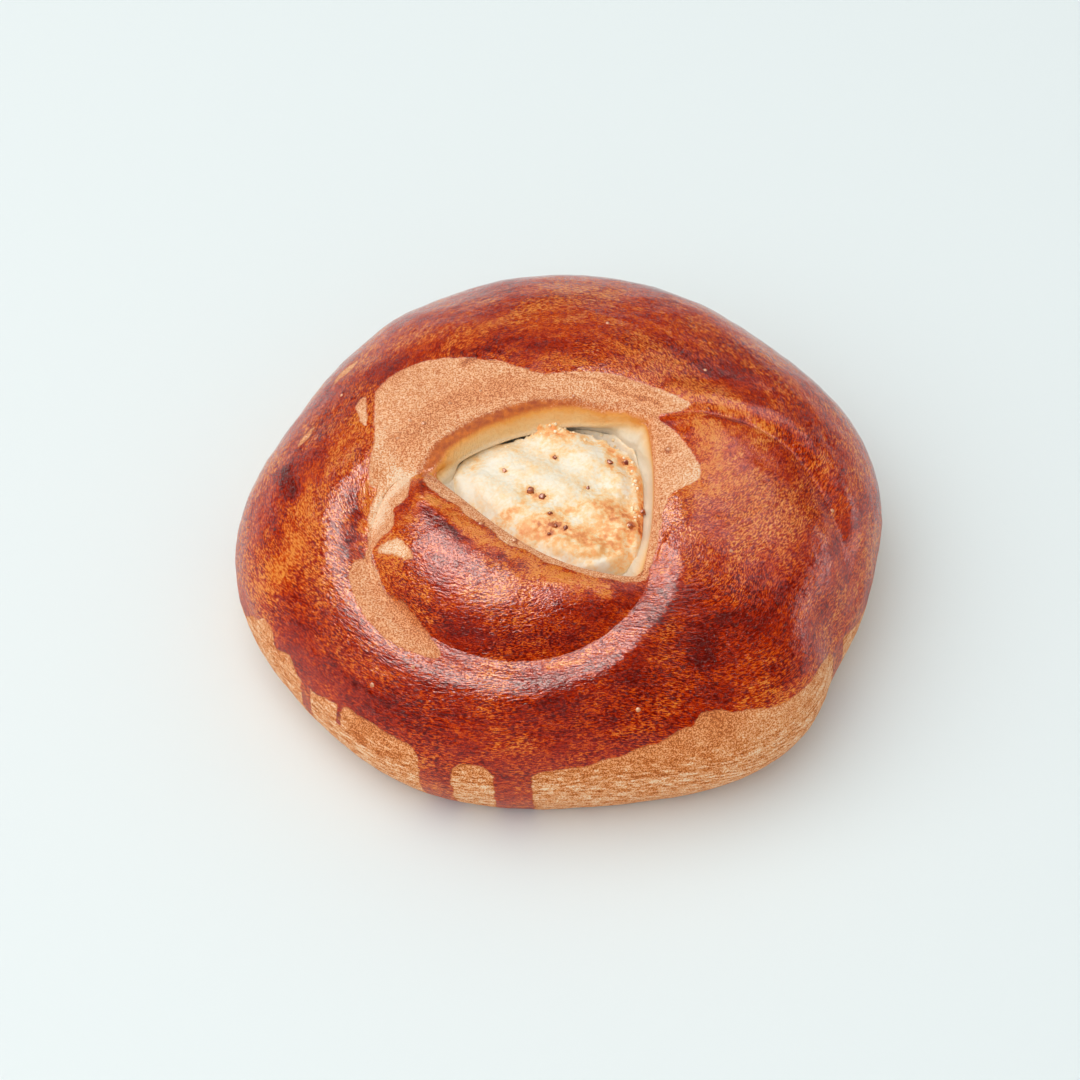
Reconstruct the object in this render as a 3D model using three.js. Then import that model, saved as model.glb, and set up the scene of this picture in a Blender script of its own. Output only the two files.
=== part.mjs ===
// A cottage cheese bun: a round of sweet dough folded over its filling, so that a three-cornered opening is left on
// the crown. A fat roll of dough closes the opening's front, with a valley round it like a snail's shell, and a
// second lobe is tucked under on the right. Baked cottage cheese fills the hollow nearly to its lips.
//
// Millimetres, +Z up. The bun stands on the plane z = 0, with the middle of its box on the Z axis, and the roll
// that closes the opening faces -Y.
//
// Both solids are skins of rings. Every ring is laid out by angle round the eye, a point in the opening: the bun's
// run from the middle of its flat base, out and up the side, over the crown, round the lip and down into the hollow.

import * as THREE from "three";

// ---- driving dimensions ----
const HEIGHT = 43; // table to crown
const MEAN_RADIUS = 59.4; // of the bulge, where the side stands furthest out
const BULGE_HEIGHT = 14.9;
const CROWN_POWER = 2.6; // 2 is half an ellipse, more is flatter on top
const FOOT_INSET = 0.104; // share of the radius that the side draws in down to the base
const FOOT_POWER = 2.2;
const MIDDLE = [0.76, -1.39]; // of the bulge, in plan
// how far the hand-made outline leaves a circle: [waves, cosine share, sine share]
const UNEVEN = [[2, 0, 0.0085], [3, -0.003, -0.0205], [4, 0.001, 0.0125], [5, -0.009, 0.012], [6, 0.009, 0.0105]];
// the rise and fall of the baked skin: [size, x wavelength, y wavelength, start]
const SWELLS = [[0.35, 70, 62, 0.9], [0.25, 36, -50, 2.1], [0.18, 26, 33, 0.7]];
const SIDE_DENT = { angle: -31, halfWidth: 8, depth: 1.7, top: 0.8 }; // where the tucked lobe's crease runs down

// ---- the opening on the crown, in plan ----
const EYE = [-1, -12];
const LEFT_CORNER = [-23.4, -6.9];
const BACK_CORNER = [16.2, 5];
const FRONT_CORNER = [14.6, -30];
const BACK_PULL = [-6.4, 11.3]; // the lips bow towards these points
const RIGHT_PULL = [18.6, -12.4];
const FRONT_PULL = [-3.6, -33.1];
const RIM_SOFTENING = 3; // degrees, over which a corner is rounded
// sizes that change round the eye: [degrees, value]; the corners lie at 45 (back), 167 (left) and 311 (front)
const LIP_RADIUS = [[20, 1.6], [45, 1.8], [70, 2.8], [110, 3.6], [150, 2.4], [167, 1], [230, 1.3], [311, 1], [350, 1.9]];
const LIP_SAG = [[20, 1.8], [45, 1.6], [90, 3.4], [130, 3.4], [160, 2.2], [190, 0.8], [240, 0.6], [290, 1], [311, 1.8],
  [350, 1.8]];
const SAG_REACH = [[20, 5], [45, 6], [90, 9], [130, 9], [165, 5], [200, 4], [311, 4], [350, 4.5]];
const WALL_DROP = [[20, 5], [45, 5], [90, 6], [140, 5.5], [167, 3], [210, 4.5], [270, 5], [300, 4], [311, 2.6],
  [350, 4.5]];
const WALL_OUT = [[20, -2.4], [45, -3.5], [65, 1], [100, 3], [140, 2], [167, -2.5], [200, 1], [250, 2], [295, 0.5],
  [311, -3], [340, -2.2]];
const HOLLOW_FLOOR = 20; // height of the hollow's lowest point, under the filling
const HOLLOW_POWER = 1.6;

// ---- the valley round the front roll: its line from the left corner to the front one, and its depth along it ----
const VALLEY_LINE = [[-22.6, -6.3], [-27.6, -6.4], [-31.8, -9.4], [-34.4, -15.5], [-34.9, -22], [-32.6, -30],
  [-27, -38], [-18.6, -43.8], [-9, -46.5], [-0.5, -45.8], [6.5, -43], [11.6, -38.7], [14.8, -34.2], [16.4, -29.5]];
const VALLEY_DEPTH = [[0, 0.4], [0.06, 1.6], [0.15, 2.6], [0.3, 3], [0.45, 3], [0.6, 2.8], [0.75, 2.3], [0.9, 1.2],
  [1, 0]];
const VALLEY_REACH = { ring: 2.8, roll: 5.5 }; // steep on the outer ring's side, gentle on the roll's
const SHOULDER = { height: 1, distance: 4.6, reach: 2.6 }; // the ring's rounded shoulder beside the valley
const ROLL_FULLNESS = 0.14; // the roll's extra height, as a share of its width
const ROLL_WIDEST = 22;

// ---- the tucked lobe's crease: its line from the back corner round to the right side ----
const CREASE_LINE = [[16.4, 5.2], [23.9, 7.2], [30.5, 7], [36.8, 5.4], [42.3, 2.6], [46.8, -1.8], [50.2, -7.5],
  [52.6, -14], [53.6, -20.5], [52.8, -27], [50, -34]];
const CREASE_DEPTH = [[0, 0.2], [0.12, 0.7], [0.45, 0.4], [0.6, 0.2], [1, 0]];
const CREASE_DIP = [[0, 0], [0.3, 0.2], [0.6, 1.1], [0.9, 1.5], [1, 1.6]];
const CREASE_SWELL = [[0, 0.2], [0.2, 0.6], [0.5, 0.6], [0.8, 0.3], [1, 0]];
const CREASE_REACH = { crease: 1, dip: 3.2, swell: 3 };

// ---- the cottage cheese ----
// its edge in plan, a closed loop that leaves the hollow's corners bare
const CURD_EDGE = [[15.6, -12], [14.9, -6.5], [12.4, -0.4], [7.2, 3.9], [1.5, 6.6], [-4.4, 7.4], [-7, 4],
  [-12, 2.2], [-16.3, 0.4], [-19.6, -4.6], [-17.5, -12], [-11.5, -19.3], [-2.5, -25], [7, -27], [12.4, -23.6],
  [14.9, -18]];
const CURD_TOP = 36.6; // height just inside its edge
const CURD_DOME = 1.9; // how much higher it stands in the middle
const CURD_BRIM = 1.8; // width of its rounded edge
const CURD_LUMPS = [[0.3, 14, 11, 0.4], [0.22, 9, -12, 1.9]];
const CLEARANCE = 0.6; // between the filling and the dough

// ---- fineness ----
const ANGLES = 84;
const BASE_RINGS = 2;
const SIDE_RINGS = 6;
const SHOULDER_RINGS = 16; // from the bulge to the valley
const ROLL_RINGS = 12; // from the valley to the lip
const WALL_RINGS = 5;
const FLOOR_RINGS = 5;
const CURD_UNDER_RINGS = 3;
const CURD_BRIM_RINGS = 3;
const CURD_TOP_RINGS = 5;
const LINE_STEPS = 160; // straight steps in which a line is measured

// ---- small helpers ----

const add = (p, q) => [p[0] + q[0], p[1] + q[1]];
const sub = (p, q) => [p[0] - q[0], p[1] - q[1]];
const fromEye = (angle, reach) => add(EYE, [reach * Math.cos(angle), reach * Math.sin(angle)]);
const angleOf = (v) => Math.atan2(v[1], v[0]);
const bell = (x) => Math.exp(-x * x);
const range = (count) => Array.from({ length: count }, (_, i) => i);

function smoothstep(low, high, x) {
  return THREE.MathUtils.smoothstep(x, low, high);
}

// A wavy surface: the sum of crossed sine waves, [size, x wavelength, y wavelength, start].
function waves(list, [x, y]) {
  return list.reduce((sum, [size, alongX, alongY, start]) =>
    sum + size * Math.sin(2 * Math.PI * (x / alongX + y / alongY) + start), 0);
}

// A value that changes along a line: straight between its [share, value] knots.
function knotsAt(knots, share) {
  const next = knots.findIndex(([at]) => at >= share);
  if (next <= 0) return knots[next === 0 ? 0 : knots.length - 1][1];
  const [a, b] = [knots[next - 1], knots[next]];
  return THREE.MathUtils.lerp(a[1], b[1], (share - a[0]) / (b[0] - a[0]));
}

// A value that changes round the eye: eased between its [degrees, value] knots.
function around(knots, angle) {
  const degrees = THREE.MathUtils.euclideanModulo(THREE.MathUtils.radToDeg(angle), 360);
  const last = knots[knots.length - 1];
  const ring = [[last[0] - 360, last[1]], ...knots, [knots[0][0] + 360, knots[0][1]]];
  const next = ring.findIndex(([at]) => at > degrees);
  const [a, b] = [ring[next - 1], ring[next]];
  return a[1] + (b[1] - a[1]) * smoothstep(0, 1, (degrees - a[0]) / (b[0] - a[0]));
}

const toVectors = (points) => points.map(([x, y]) => new THREE.Vector3(x, y, 0));
const toPlan = (vectors) => vectors.map(({ x, y }) => [x, y]);

function lineThrough(points, closed = false) {
  const curve = new THREE.CatmullRomCurve3(toVectors(points), closed, "catmullrom", 0.5);
  return toPlan(curve.getPoints(LINE_STEPS));
}

// Nearest place on a line: the distance to it, the share of its length run so far, and the side (1 left, -1 right).
function nearest(line, point) {
  let run = 0;
  let best = { distance: Infinity };
  for (let i = 0; i + 1 < line.length; i++) {
    const step = sub(line[i + 1], line[i]);
    const away = sub(point, line[i]);
    const length = Math.hypot(...step);
    const t = THREE.MathUtils.clamp((away[0] * step[0] + away[1] * step[1]) / length ** 2, 0, 1);
    const distance = Math.hypot(away[0] - t * step[0], away[1] - t * step[1]);
    if (distance < best.distance) {
      best = { distance, run: run + t * length, side: step[0] * away[1] - step[1] * away[0] < 0 ? -1 : 1 };
    }
    run += length;
  }
  return { distance: best.distance, share: best.run / run, side: best.side };
}

function isInside(loop, [x, y]) {
  let inside = false;
  loop.forEach(([x1, y1], i) => {
    const [x2, y2] = loop[(i + 1) % loop.length];
    if ((y1 > y) !== (y2 > y) && x < x1 + ((x2 - x1) * (y - y1)) / (y2 - y1)) inside = !inside;
  });
  return inside;
}

// How far a loop round the eye reaches at an angle.
function reachOf(loop) {
  const spokes = loop.map((point) => sub(point, EYE)).map((v) => [angleOf(v), Math.hypot(...v)]);
  spokes.sort((a, b) => a[0] - b[0]);
  const [first, last] = [spokes[0], spokes[spokes.length - 1]];
  const table = [[last[0] - 2 * Math.PI, last[1]], ...spokes, [first[0] + 2 * Math.PI, first[1]]];
  return (angle) => knotsAt(table, Math.atan2(Math.sin(angle), Math.cos(angle)));
}

// ---- the plain bun: outline, crown and side ----

// 0 at the middle and 1 at the bulge; the outline's waves fade away towards the crown.
function crownShare(point) {
  const away = sub(point, MIDDLE);
  const angle = angleOf(away);
  const distance = Math.hypot(...away);
  const wave = UNEVEN.reduce((sum, [n, a, b]) => sum + a * Math.cos(n * angle) + b * Math.sin(n * angle), 0);
  return distance / (MEAN_RADIUS * (1 + wave * Math.min(distance / MEAN_RADIUS, 1) ** 3));
}

function crownHeight(point) {
  const share = crownShare(point);
  return BULGE_HEIGHT + (HEIGHT - BULGE_HEIGHT) * Math.sqrt(Math.max(1 - share ** CROWN_POWER, 0));
}

function crownNormal([x, y]) {
  const e = 0.05;
  const slopeX = (crownShare([x + e, y]) - crownShare([x - e, y])) / (2 * e);
  const slopeY = (crownShare([x, y + e]) - crownShare([x, y - e])) / (2 * e);
  const lean = CROWN_POWER * crownShare([x, y]) ** (CROWN_POWER - 1);
  const rise = (2 * (crownHeight([x, y]) - BULGE_HEIGHT)) / (HEIGHT - BULGE_HEIGHT) ** 2;
  return new THREE.Vector3(lean * slopeX, lean * slopeY, rise).normalize();
}

// How far from the eye the plain bun has this share of its radius.
function reachOfShare(angle, share) {
  const rounds = 40;
  const pull = 0.8;
  return range(rounds).reduce((reach) => reach * (share / crownShare(fromEye(angle, reach))) ** pull, MEAN_RADIUS);
}

// ---- the opening, the roll and the lobe ----

function lip(start, pull, end) {
  const [a, b, c] = toVectors([start, pull, end]);
  return toPlan(new THREE.QuadraticBezierCurve3(a, b, c).getPoints(LINE_STEPS / 4));
}

const FRONT_LIP = lip(LEFT_CORNER, FRONT_PULL, FRONT_CORNER);
const RIGHT_LIP = lip(FRONT_CORNER, RIGHT_PULL, BACK_CORNER);
const BACK_LIP = lip(BACK_CORNER, BACK_PULL, LEFT_CORNER);
const RIM = [...FRONT_LIP, ...RIGHT_LIP.slice(1), ...BACK_LIP.slice(1)];
const VALLEY = lineThrough(VALLEY_LINE);
const CREASE = lineThrough(CREASE_LINE);
const ROLL = [...VALLEY, ...FRONT_LIP.toReversed()];
const sharpRimReach = reachOf(RIM);
const curdReach = reachOf(lineThrough(CURD_EDGE, true));
const valleyReach = reachOf(VALLEY);

function rimReach(angle) {
  const offsets = range(9).map((i) => THREE.MathUtils.degToRad(((i - 4) / 4) * RIM_SOFTENING));
  return offsets.reduce((sum, offset) => sum + sharpRimReach(angle + offset) / offsets.length, 0);
}

// How far the skin stands out from the plain crown.
function relief(point) {
  const angle = angleOf(sub(point, EYE));
  const rim = nearest(RIM, point).distance;
  const valley = nearest(VALLEY, point);
  const crease = nearest(CREASE, point);
  const onRing = valley.side < 0;
  let height = waves(SWELLS, point);

  height -= around(LIP_SAG, angle) * bell(rim / around(SAG_REACH, angle));

  const reach = onRing ? VALLEY_REACH.ring : VALLEY_REACH.roll;
  height -= knotsAt(VALLEY_DEPTH, valley.share) * Math.exp(-((valley.distance / reach) ** 1.5));
  if (onRing) {
    const along = smoothstep(0, 0.15, valley.share) * (1 - 0.5 * smoothstep(0.85, 1, valley.share));
    height += SHOULDER.height * along * bell((valley.distance - SHOULDER.distance) / SHOULDER.reach);
  }
  if (isInside(ROLL, point)) {
    const width = rim + valley.distance;
    height += ROLL_FULLNESS * Math.min(width, ROLL_WIDEST) * Math.sin(Math.PI * (rim / width) ** 0.9);
  }

  height -= knotsAt(CREASE_DEPTH, crease.share) * bell(crease.distance / CREASE_REACH.crease);
  height -= knotsAt(CREASE_DIP, crease.share) * bell(crease.distance / CREASE_REACH.dip);
  if (crease.side > 0) {
    height += knotsAt(CREASE_SWELL, crease.share) * bell(crease.distance / CREASE_REACH.swell - 4 / 3);
  }
  return height;
}

// ---- rings ----

// One ring lies along the valley's bottom, and leaves it past the valley's ends to run midway over the crown.
const VALLEY_SPAN = [150, 171, 309, 330]; // degrees: eased in, on the valley, and eased out
const MIDWAY = 0.42;

function valleyReachAt(angle, lipReach, bulgeReach) {
  const degrees = THREE.MathUtils.euclideanModulo(THREE.MathUtils.radToDeg(angle), 360);
  const [start, from, to, end] = VALLEY_SPAN;
  const along = THREE.MathUtils.degToRad(THREE.MathUtils.clamp(degrees, from, to));
  const share = smoothstep(start, from, degrees) * (1 - smoothstep(to, end, degrees));
  return THREE.MathUtils.lerp(THREE.MathUtils.lerp(lipReach, bulgeReach, MIDWAY), valleyReach(along), share);
}

const ANGLE_LIST = range(ANGLES).map((i) => -Math.PI + (2 * Math.PI * i) / ANGLES);

// One ring of points, from a function that gives [reach from the eye, height] at an angle.
const ring = (at) => ANGLE_LIST.map((angle, i) => {
  const [reach, z] = at(angle, i);
  const [x, y] = fromEye(angle, reach);
  return new THREE.Vector3(x, y, z);
});

function baseRings() {
  return range(BASE_RINGS).map((i) =>
    ring((angle) => [(reachOfShare(angle, 1 - FOOT_INSET) * 0.985 * (i + 1)) / BASE_RINGS, 0]));
}

// Presses the tucked lobe's crease into the side, by a share of its full depth.
function dentSide(point, share) {
  const out = new THREE.Vector3(point.x - MIDDLE[0], point.y - MIDDLE[1], 0).normalize();
  const turn = THREE.MathUtils.radToDeg(Math.atan2(out.y, out.x)) - SIDE_DENT.angle;
  return point.addScaledVector(out, -SIDE_DENT.depth * share * bell(turn / SIDE_DENT.halfWidth));
}

function sideRing(t) {
  const z = BULGE_HEIGHT * THREE.MathUtils.lerp(0.02, 1, t);
  const share = 1 - FOOT_INSET * (1 - z / BULGE_HEIGHT) ** FOOT_POWER;
  return ring((angle) => [reachOfShare(angle, share), z])
    .map((point) => dentSide(point, THREE.MathUtils.lerp(0.35, 1, t)));
}

function crownPoint(plan) {
  const share = crownShare(plan);
  const settle = (1 - 0.65 * smoothstep(0.75, 1, share)) * (1 - smoothstep(0.985, 1, share));
  const point = new THREE.Vector3(plan[0], plan[1], crownHeight(plan));
  point.addScaledVector(crownNormal(plan), relief(plan) * settle);
  dentSide(point, smoothstep(SIDE_DENT.top, 1, share));
  const radius = around(LIP_RADIUS, angleOf(sub(plan, EYE)));
  const inward = radius - Math.min(nearest(RIM, plan).distance, radius);
  point.z -= radius - Math.sqrt(Math.max(radius ** 2 - inward ** 2, 0));
  return point;
}

// Over the crown from the bulge to the valley and on to the lip, close together where the skin bends most.
function crownRings() {
  const spokes = ANGLE_LIST.map((angle) => {
    const [lip, bulge] = [rimReach(angle), reachOfShare(angle, 1)];
    return { angle, lip, bulge, valley: valleyReachAt(angle, lip, bulge) };
  });
  const shoulder = range(SHOULDER_RINGS).map((i) => {
    const spread = Math.sin((Math.PI / 2) * (1 - i / SHOULDER_RINGS));
    return spokes.map(({ angle, valley, bulge }) => fromEye(angle, THREE.MathUtils.lerp(valley, bulge, spread)));
  });
  const roll = range(ROLL_RINGS + 1).map((i) => {
    const even = 1 - i / ROLL_RINGS;
    const spread = (even + smoothstep(0, 1, even)) / 2;
    return spokes.map(({ angle, lip, valley }) => fromEye(angle, THREE.MathUtils.lerp(lip, valley, spread)));
  });
  return [...shoulder, ...roll].map((plans) => plans.map(crownPoint));
}

// Down the hollow's wall from the lip, drawing back under it where the value of WALL_OUT is positive.
function wallRing(lipRing, t) {
  return lipRing.map((point, i) => {
    const angle = ANGLE_LIST[i];
    const out = around(WALL_OUT, angle) * (1 - Math.sqrt(1 - (t * 0.999) ** 2));
    const drop = around(WALL_DROP, angle) * Math.sin((t * Math.PI) / 2);
    return new THREE.Vector3(point.x + out * Math.cos(angle), point.y + out * Math.sin(angle), point.z - drop);
  });
}

const reachFromEye = (point) => Math.hypot(point.x - EYE[0], point.y - EYE[1]);

// Height of the hollow's floor below the wall's foot, at a share of the way out from the eye.
const floorHeight = (foot, share) => THREE.MathUtils.lerp(HOLLOW_FLOOR, foot.z, share ** HOLLOW_POWER);

// ---- solids ----

// A closed skin over rings that run from a first pole to a last one.
function skin(first, rings, last) {
  const points = [first, ...rings.flat(), last];
  const index = [];
  for (const i of range(ANGLES)) {
    const j = (i + 1) % ANGLES;
    index.push(0, 1 + j, 1 + i);
    for (const r of range(rings.length - 1)) {
      const inner = 1 + r * ANGLES;
      const outer = inner + ANGLES;
      index.push(inner + i, inner + j, outer + j, inner + i, outer + j, outer + i);
    }
    const end = 1 + (rings.length - 1) * ANGLES;
    index.push(points.length - 1, end + i, end + j);
  }
  const geometry = new THREE.BufferGeometry().setFromPoints(points);
  geometry.setIndex(index);
  geometry.computeVertexNormals();
  return geometry;
}

function bunRings() {
  const crown = crownRings();
  const lipRing = crown[crown.length - 1];
  const wall = range(WALL_RINGS).map((i) => wallRing(lipRing, (i + 1) / WALL_RINGS));
  const foot = wall[WALL_RINGS - 1];
  const floor = range(FLOOR_RINGS - 1).map((i) => {
    const share = 1 - (i + 1) / FLOOR_RINGS;
    return ring((angle, k) => [reachFromEye(foot[k]) * share, floorHeight(foot[k], share)]);
  });
  const side = range(SIDE_RINGS).map((i) => sideRing(i / SIDE_RINGS));
  return { rings: [...baseRings(), ...side, ...crown, ...wall, ...floor], foot };
}

function curdHeight(point, share) {
  return CURD_TOP + CURD_DOME * (1 - share ** 2) + waves(CURD_LUMPS, point);
}

function curdRings(foot) {
  const spokes = ANGLE_LIST.map((angle, i) => {
    const wallReach = reachFromEye(foot[i]);
    const edge = Math.min(curdReach(angle), rimReach(angle) - CLEARANCE, wallReach - CLEARANCE);
    const shareOfFloor = (edge * 0.97) / wallReach;
    const low = floorHeight(foot[i], shareOfFloor) + CLEARANCE;
    const brim = Math.max(curdHeight(fromEye(angle, edge - CURD_BRIM), 1 - CURD_BRIM / edge) - 0.5, low + 0.8);
    return { edge, wallReach, low, brim };
  });
  const under = range(CURD_UNDER_RINGS).map((k) => ring((angle, i) => {
    const reach = (spokes[i].edge * 0.97 * (k + 1)) / CURD_UNDER_RINGS;
    return [reach, floorHeight(foot[i], reach / spokes[i].wallReach) + CLEARANCE];
  }));
  const brims = range(CURD_BRIM_RINGS).map((k) => ring((angle, i) => {
    const bend = ((k + 1) / CURD_BRIM_RINGS) * (Math.PI / 2);
    const { edge, low, brim } = spokes[i];
    return [edge - CURD_BRIM * (1 - Math.cos(bend)), THREE.MathUtils.lerp(low, brim, Math.sin(bend))];
  }));
  const top = range(CURD_TOP_RINGS - 1).map((k) => ring((angle, i) => {
    const share = 1 - (k + 1) / CURD_TOP_RINGS;
    const reach = (spokes[i].edge - CURD_BRIM) * share;
    const level = curdHeight(fromEye(angle, reach), reach / spokes[i].edge);
    return [reach, THREE.MathUtils.lerp(level, spokes[i].brim, smoothstep(0.8, 1, share))];
  }));
  return [...under, ...brims, ...top];
}

// ---- the part ----

const CRUST = new THREE.MeshStandardMaterial({ color: 0x9c4a1e, roughness: 0.32, metalness: 0 });
const CURD = new THREE.MeshStandardMaterial({ color: 0xf3e6c6, roughness: 0.7, metalness: 0 });

function piece(name, geometry, material) {
  const mesh = new THREE.Mesh(geometry, material);
  mesh.name = name;
  return mesh;
}

const pole = (height) => new THREE.Vector3(EYE[0], EYE[1], height);
const { rings, foot } = bunRings();
const dough = skin(pole(0), rings, pole(HOLLOW_FLOOR));
const filling = skin(pole(HOLLOW_FLOOR + CLEARANCE), curdRings(foot), pole(curdHeight(EYE, 0)));

dough.computeBoundingBox();
const boxMiddle = dough.boundingBox.getCenter(new THREE.Vector3());
for (const geometry of [dough, filling]) geometry.translate(-boxMiddle.x, -boxMiddle.y, 0);

const group = new THREE.Group();
group.add(piece("bun", dough, CRUST), piece("curd_filling", filling, CURD));

export default group;
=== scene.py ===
"""A cottage cheese bun, baked, egg-washed and still whole: the looks round the frame's two solids.

The bun and its filling are made again here as finer skins of the same form, with what a baker sees on them:
the wash and the patches that the brush missed, the browned lips, the pale inside of the fold, and the grains,
toasted tips and scorched beads of the curd.
"""
import math

import bpy
import numpy as np
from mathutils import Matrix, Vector, noise


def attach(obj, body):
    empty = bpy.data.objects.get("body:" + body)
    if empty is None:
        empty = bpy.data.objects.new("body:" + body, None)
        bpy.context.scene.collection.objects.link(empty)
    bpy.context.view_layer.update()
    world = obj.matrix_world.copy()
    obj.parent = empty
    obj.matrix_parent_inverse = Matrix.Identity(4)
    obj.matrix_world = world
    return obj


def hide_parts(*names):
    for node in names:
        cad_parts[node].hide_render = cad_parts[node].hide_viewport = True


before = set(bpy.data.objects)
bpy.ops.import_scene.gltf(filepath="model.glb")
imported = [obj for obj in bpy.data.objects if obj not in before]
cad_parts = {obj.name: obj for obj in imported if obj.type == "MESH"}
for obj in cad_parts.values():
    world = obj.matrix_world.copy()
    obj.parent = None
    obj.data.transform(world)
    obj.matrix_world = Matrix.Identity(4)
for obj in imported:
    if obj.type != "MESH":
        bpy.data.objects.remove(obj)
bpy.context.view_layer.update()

MM = 0.001
SEED = 7

# ----------------------------------------------------------------------------------------------------
# Sizes of the bun in millimetres. The dome, the opening, and the lines of the valley and the crease are as in
# the part. The lips' sag, the walls, the valley, its shoulder and the curd's edges are worked further here.
# ----------------------------------------------------------------------------------------------------
HEIGHT = 43.0
MEAN_RADIUS = 59.4
BULGE_HEIGHT = 14.9
CROWN_POWER = 2.6
FOOT_INSET = 0.104
FOOT_POWER = 2.2
MIDDLE = (0.76, -1.39)
# how far the outline leaves a circle: (waves, cosine share, sine share). These and the dome's sizes above are
# rounded from a fit of the dome's outline to the photo's.
UNEVEN = [(2, 0.0, 0.0085), (3, -0.003, -0.0205), (4, 0.001, 0.0125), (5, -0.009, 0.012), (6, 0.009, 0.0105)]
SWELLS = [(0.35, 70, 62, 0.9), (0.25, 36, -50, 2.1), (0.18, 26, 33, 0.7)]
DENT_ANGLE, DENT_HALF_WIDTH, DENT_DEPTH, DENT_TOP, DENT_AT_FOOT = -31.0, 8.0, 1.7, 0.8, 0.35
# shares of the way out to the bulge: where the relief begins to calm, by how much, and where it ends
EDGE_CALM_BEGINS, EDGE_CALM, RELIEF_ENDS = 0.75, 0.65, 0.985
# the flat base as a share of the side's foot, and the height where the side begins as a share of the bulge's
BASE_SHARE, SIDE_FOOT = 0.985, 0.02

EYE = (-1.0, -12.0)
LEFT_CORNER, BACK_CORNER, FRONT_CORNER = (-23.4, -6.9), (16.2, 5.0), (14.6, -30.0)
BACK_PULL, RIGHT_PULL, FRONT_PULL = (-6.4, 11.3), (18.6, -12.4), (-3.6, -33.1)
# sizes that change round the eye: (degrees, value); the corners lie at 45 (back), 167 (left) and 311 (front)
LIP_RADIUS = [
    (20, 1.6), (45, 1.8), (70, 2.8), (110, 3.6), (150, 2.4), (167, 1), (230, 1.3), (311, 1), (350, 1.9),
]
LIP_SAG = [
    (20, 1.8), (45, 1.6), (70, 2.6), (95, 2.6), (120, 1.6), (145, 1.5), (165, 1.4), (190, 0.8), (240, 0.6),
    (290, 1), (311, 1.8), (350, 1.8),
]
SAG_REACH = [(20, 5), (45, 6), (90, 9), (130, 9), (165, 5), (200, 4), (311, 4), (350, 4.5)]
WALL_DROP = [
    (20, 5), (45, 5), (90, 5), (140, 4.5), (167, 3), (210, 4.5), (270, 5), (300, 4), (311, 2.6), (350, 4.5),
]
WALL_OUT = [
    (20, -2.4), (45, -3.5), (65, 1), (100, 3), (140, 2), (167, -2.5), (200, 1), (250, 2), (295, 0.5),
    (311, -3), (340, -2.2),
]
# the back wall bulges in under its lip before it is undercut: (degrees, bulge)
WALL_BULGE = [(20, 0), (50, 0.4), (80, 0.6), (140, 0.6), (163, 0.3), (180, 0), (340, 0)]
# shares of the wall's way down: where that bulge ends, how long before and after it the undercut takes over,
# and how much sooner the bulge is full
WALL_BULGE_END, TUCK_BEFORE, TUCK_AFTER, BULGE_HASTE = 0.12, 0.02, 0.3, 1.3
HOLLOW_FLOOR = 20.0
HOLLOW_POWER = 1.6

VALLEY_LINE = [
    (-22.6, -6.3), (-27.6, -6.4), (-31.8, -9.4), (-34.4, -15.5), (-34.9, -22), (-32.6, -30), (-27, -38),
    (-18.6, -43.8), (-9, -46.5), (-0.5, -45.8), (6.5, -43), (11.6, -38.7), (14.8, -34.2), (16.4, -29.5),
]
VALLEY_DEPTH = [
    (0, 0.4), (0.06, 1.7), (0.15, 2.9), (0.3, 3.3), (0.45, 3.3), (0.6, 3.1), (0.75, 2.6), (0.9, 1.4), (1, 0),
]
VALLEY_REACH_RING, VALLEY_REACH_ROLL, VALLEY_ROUNDING, VALLEY_POWER = 2.8, 5.5, 1.1, 1.5
# a ring of the skin runs midway over the crown, and between these degrees round the eye it joins the valley,
# follows it and leaves it
VALLEY_SPAN = (150, 171, 309, 330)
MIDWAY = 0.42
# the ring's shoulder beside the valley grows and fades along these shares of the valley
SHOULDER_GROWS, SHOULDER_FADES, SHOULDER_FADE = (0, 0.15), (0.85, 1), 0.5
SHOULDER_HEIGHT = 1.25
SHOULDER_DISTANCE = [(0, 6.6), (0.35, 6.0), (0.6, 5.2), (1, 5.0)]
SHOULDER_REACH = [(0, 4.4), (0.35, 3.8), (0.6, 3.0), (1, 2.8)]
ROLL_FULLNESS, ROLL_WIDEST, ROLL_LEAN = 0.14, 22.0, 0.9

CREASE_LINE = [
    (16.4, 5.2), (23.9, 7.2), (30.5, 7), (36.8, 5.4), (42.3, 2.6), (46.8, -1.8), (50.2, -7.5), (52.6, -14),
    (53.6, -20.5), (52.8, -27), (50, -34),
]
CREASE_DEPTH = [(0, 0.2), (0.12, 0.7), (0.45, 0.4), (0.6, 0.2), (1, 0)]
CREASE_DIP = [(0, 0), (0.3, 0.2), (0.6, 1.1), (0.9, 1.5), (1, 1.6)]
CREASE_SWELL = [(0, 0.2), (0.2, 0.6), (0.5, 0.6), (0.8, 0.3), (1, 0)]
CREASE_REACH, DIP_REACH, SWELL_REACH, SWELL_AT = 1.0, 3.2, 3.0, 4 / 3

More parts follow.
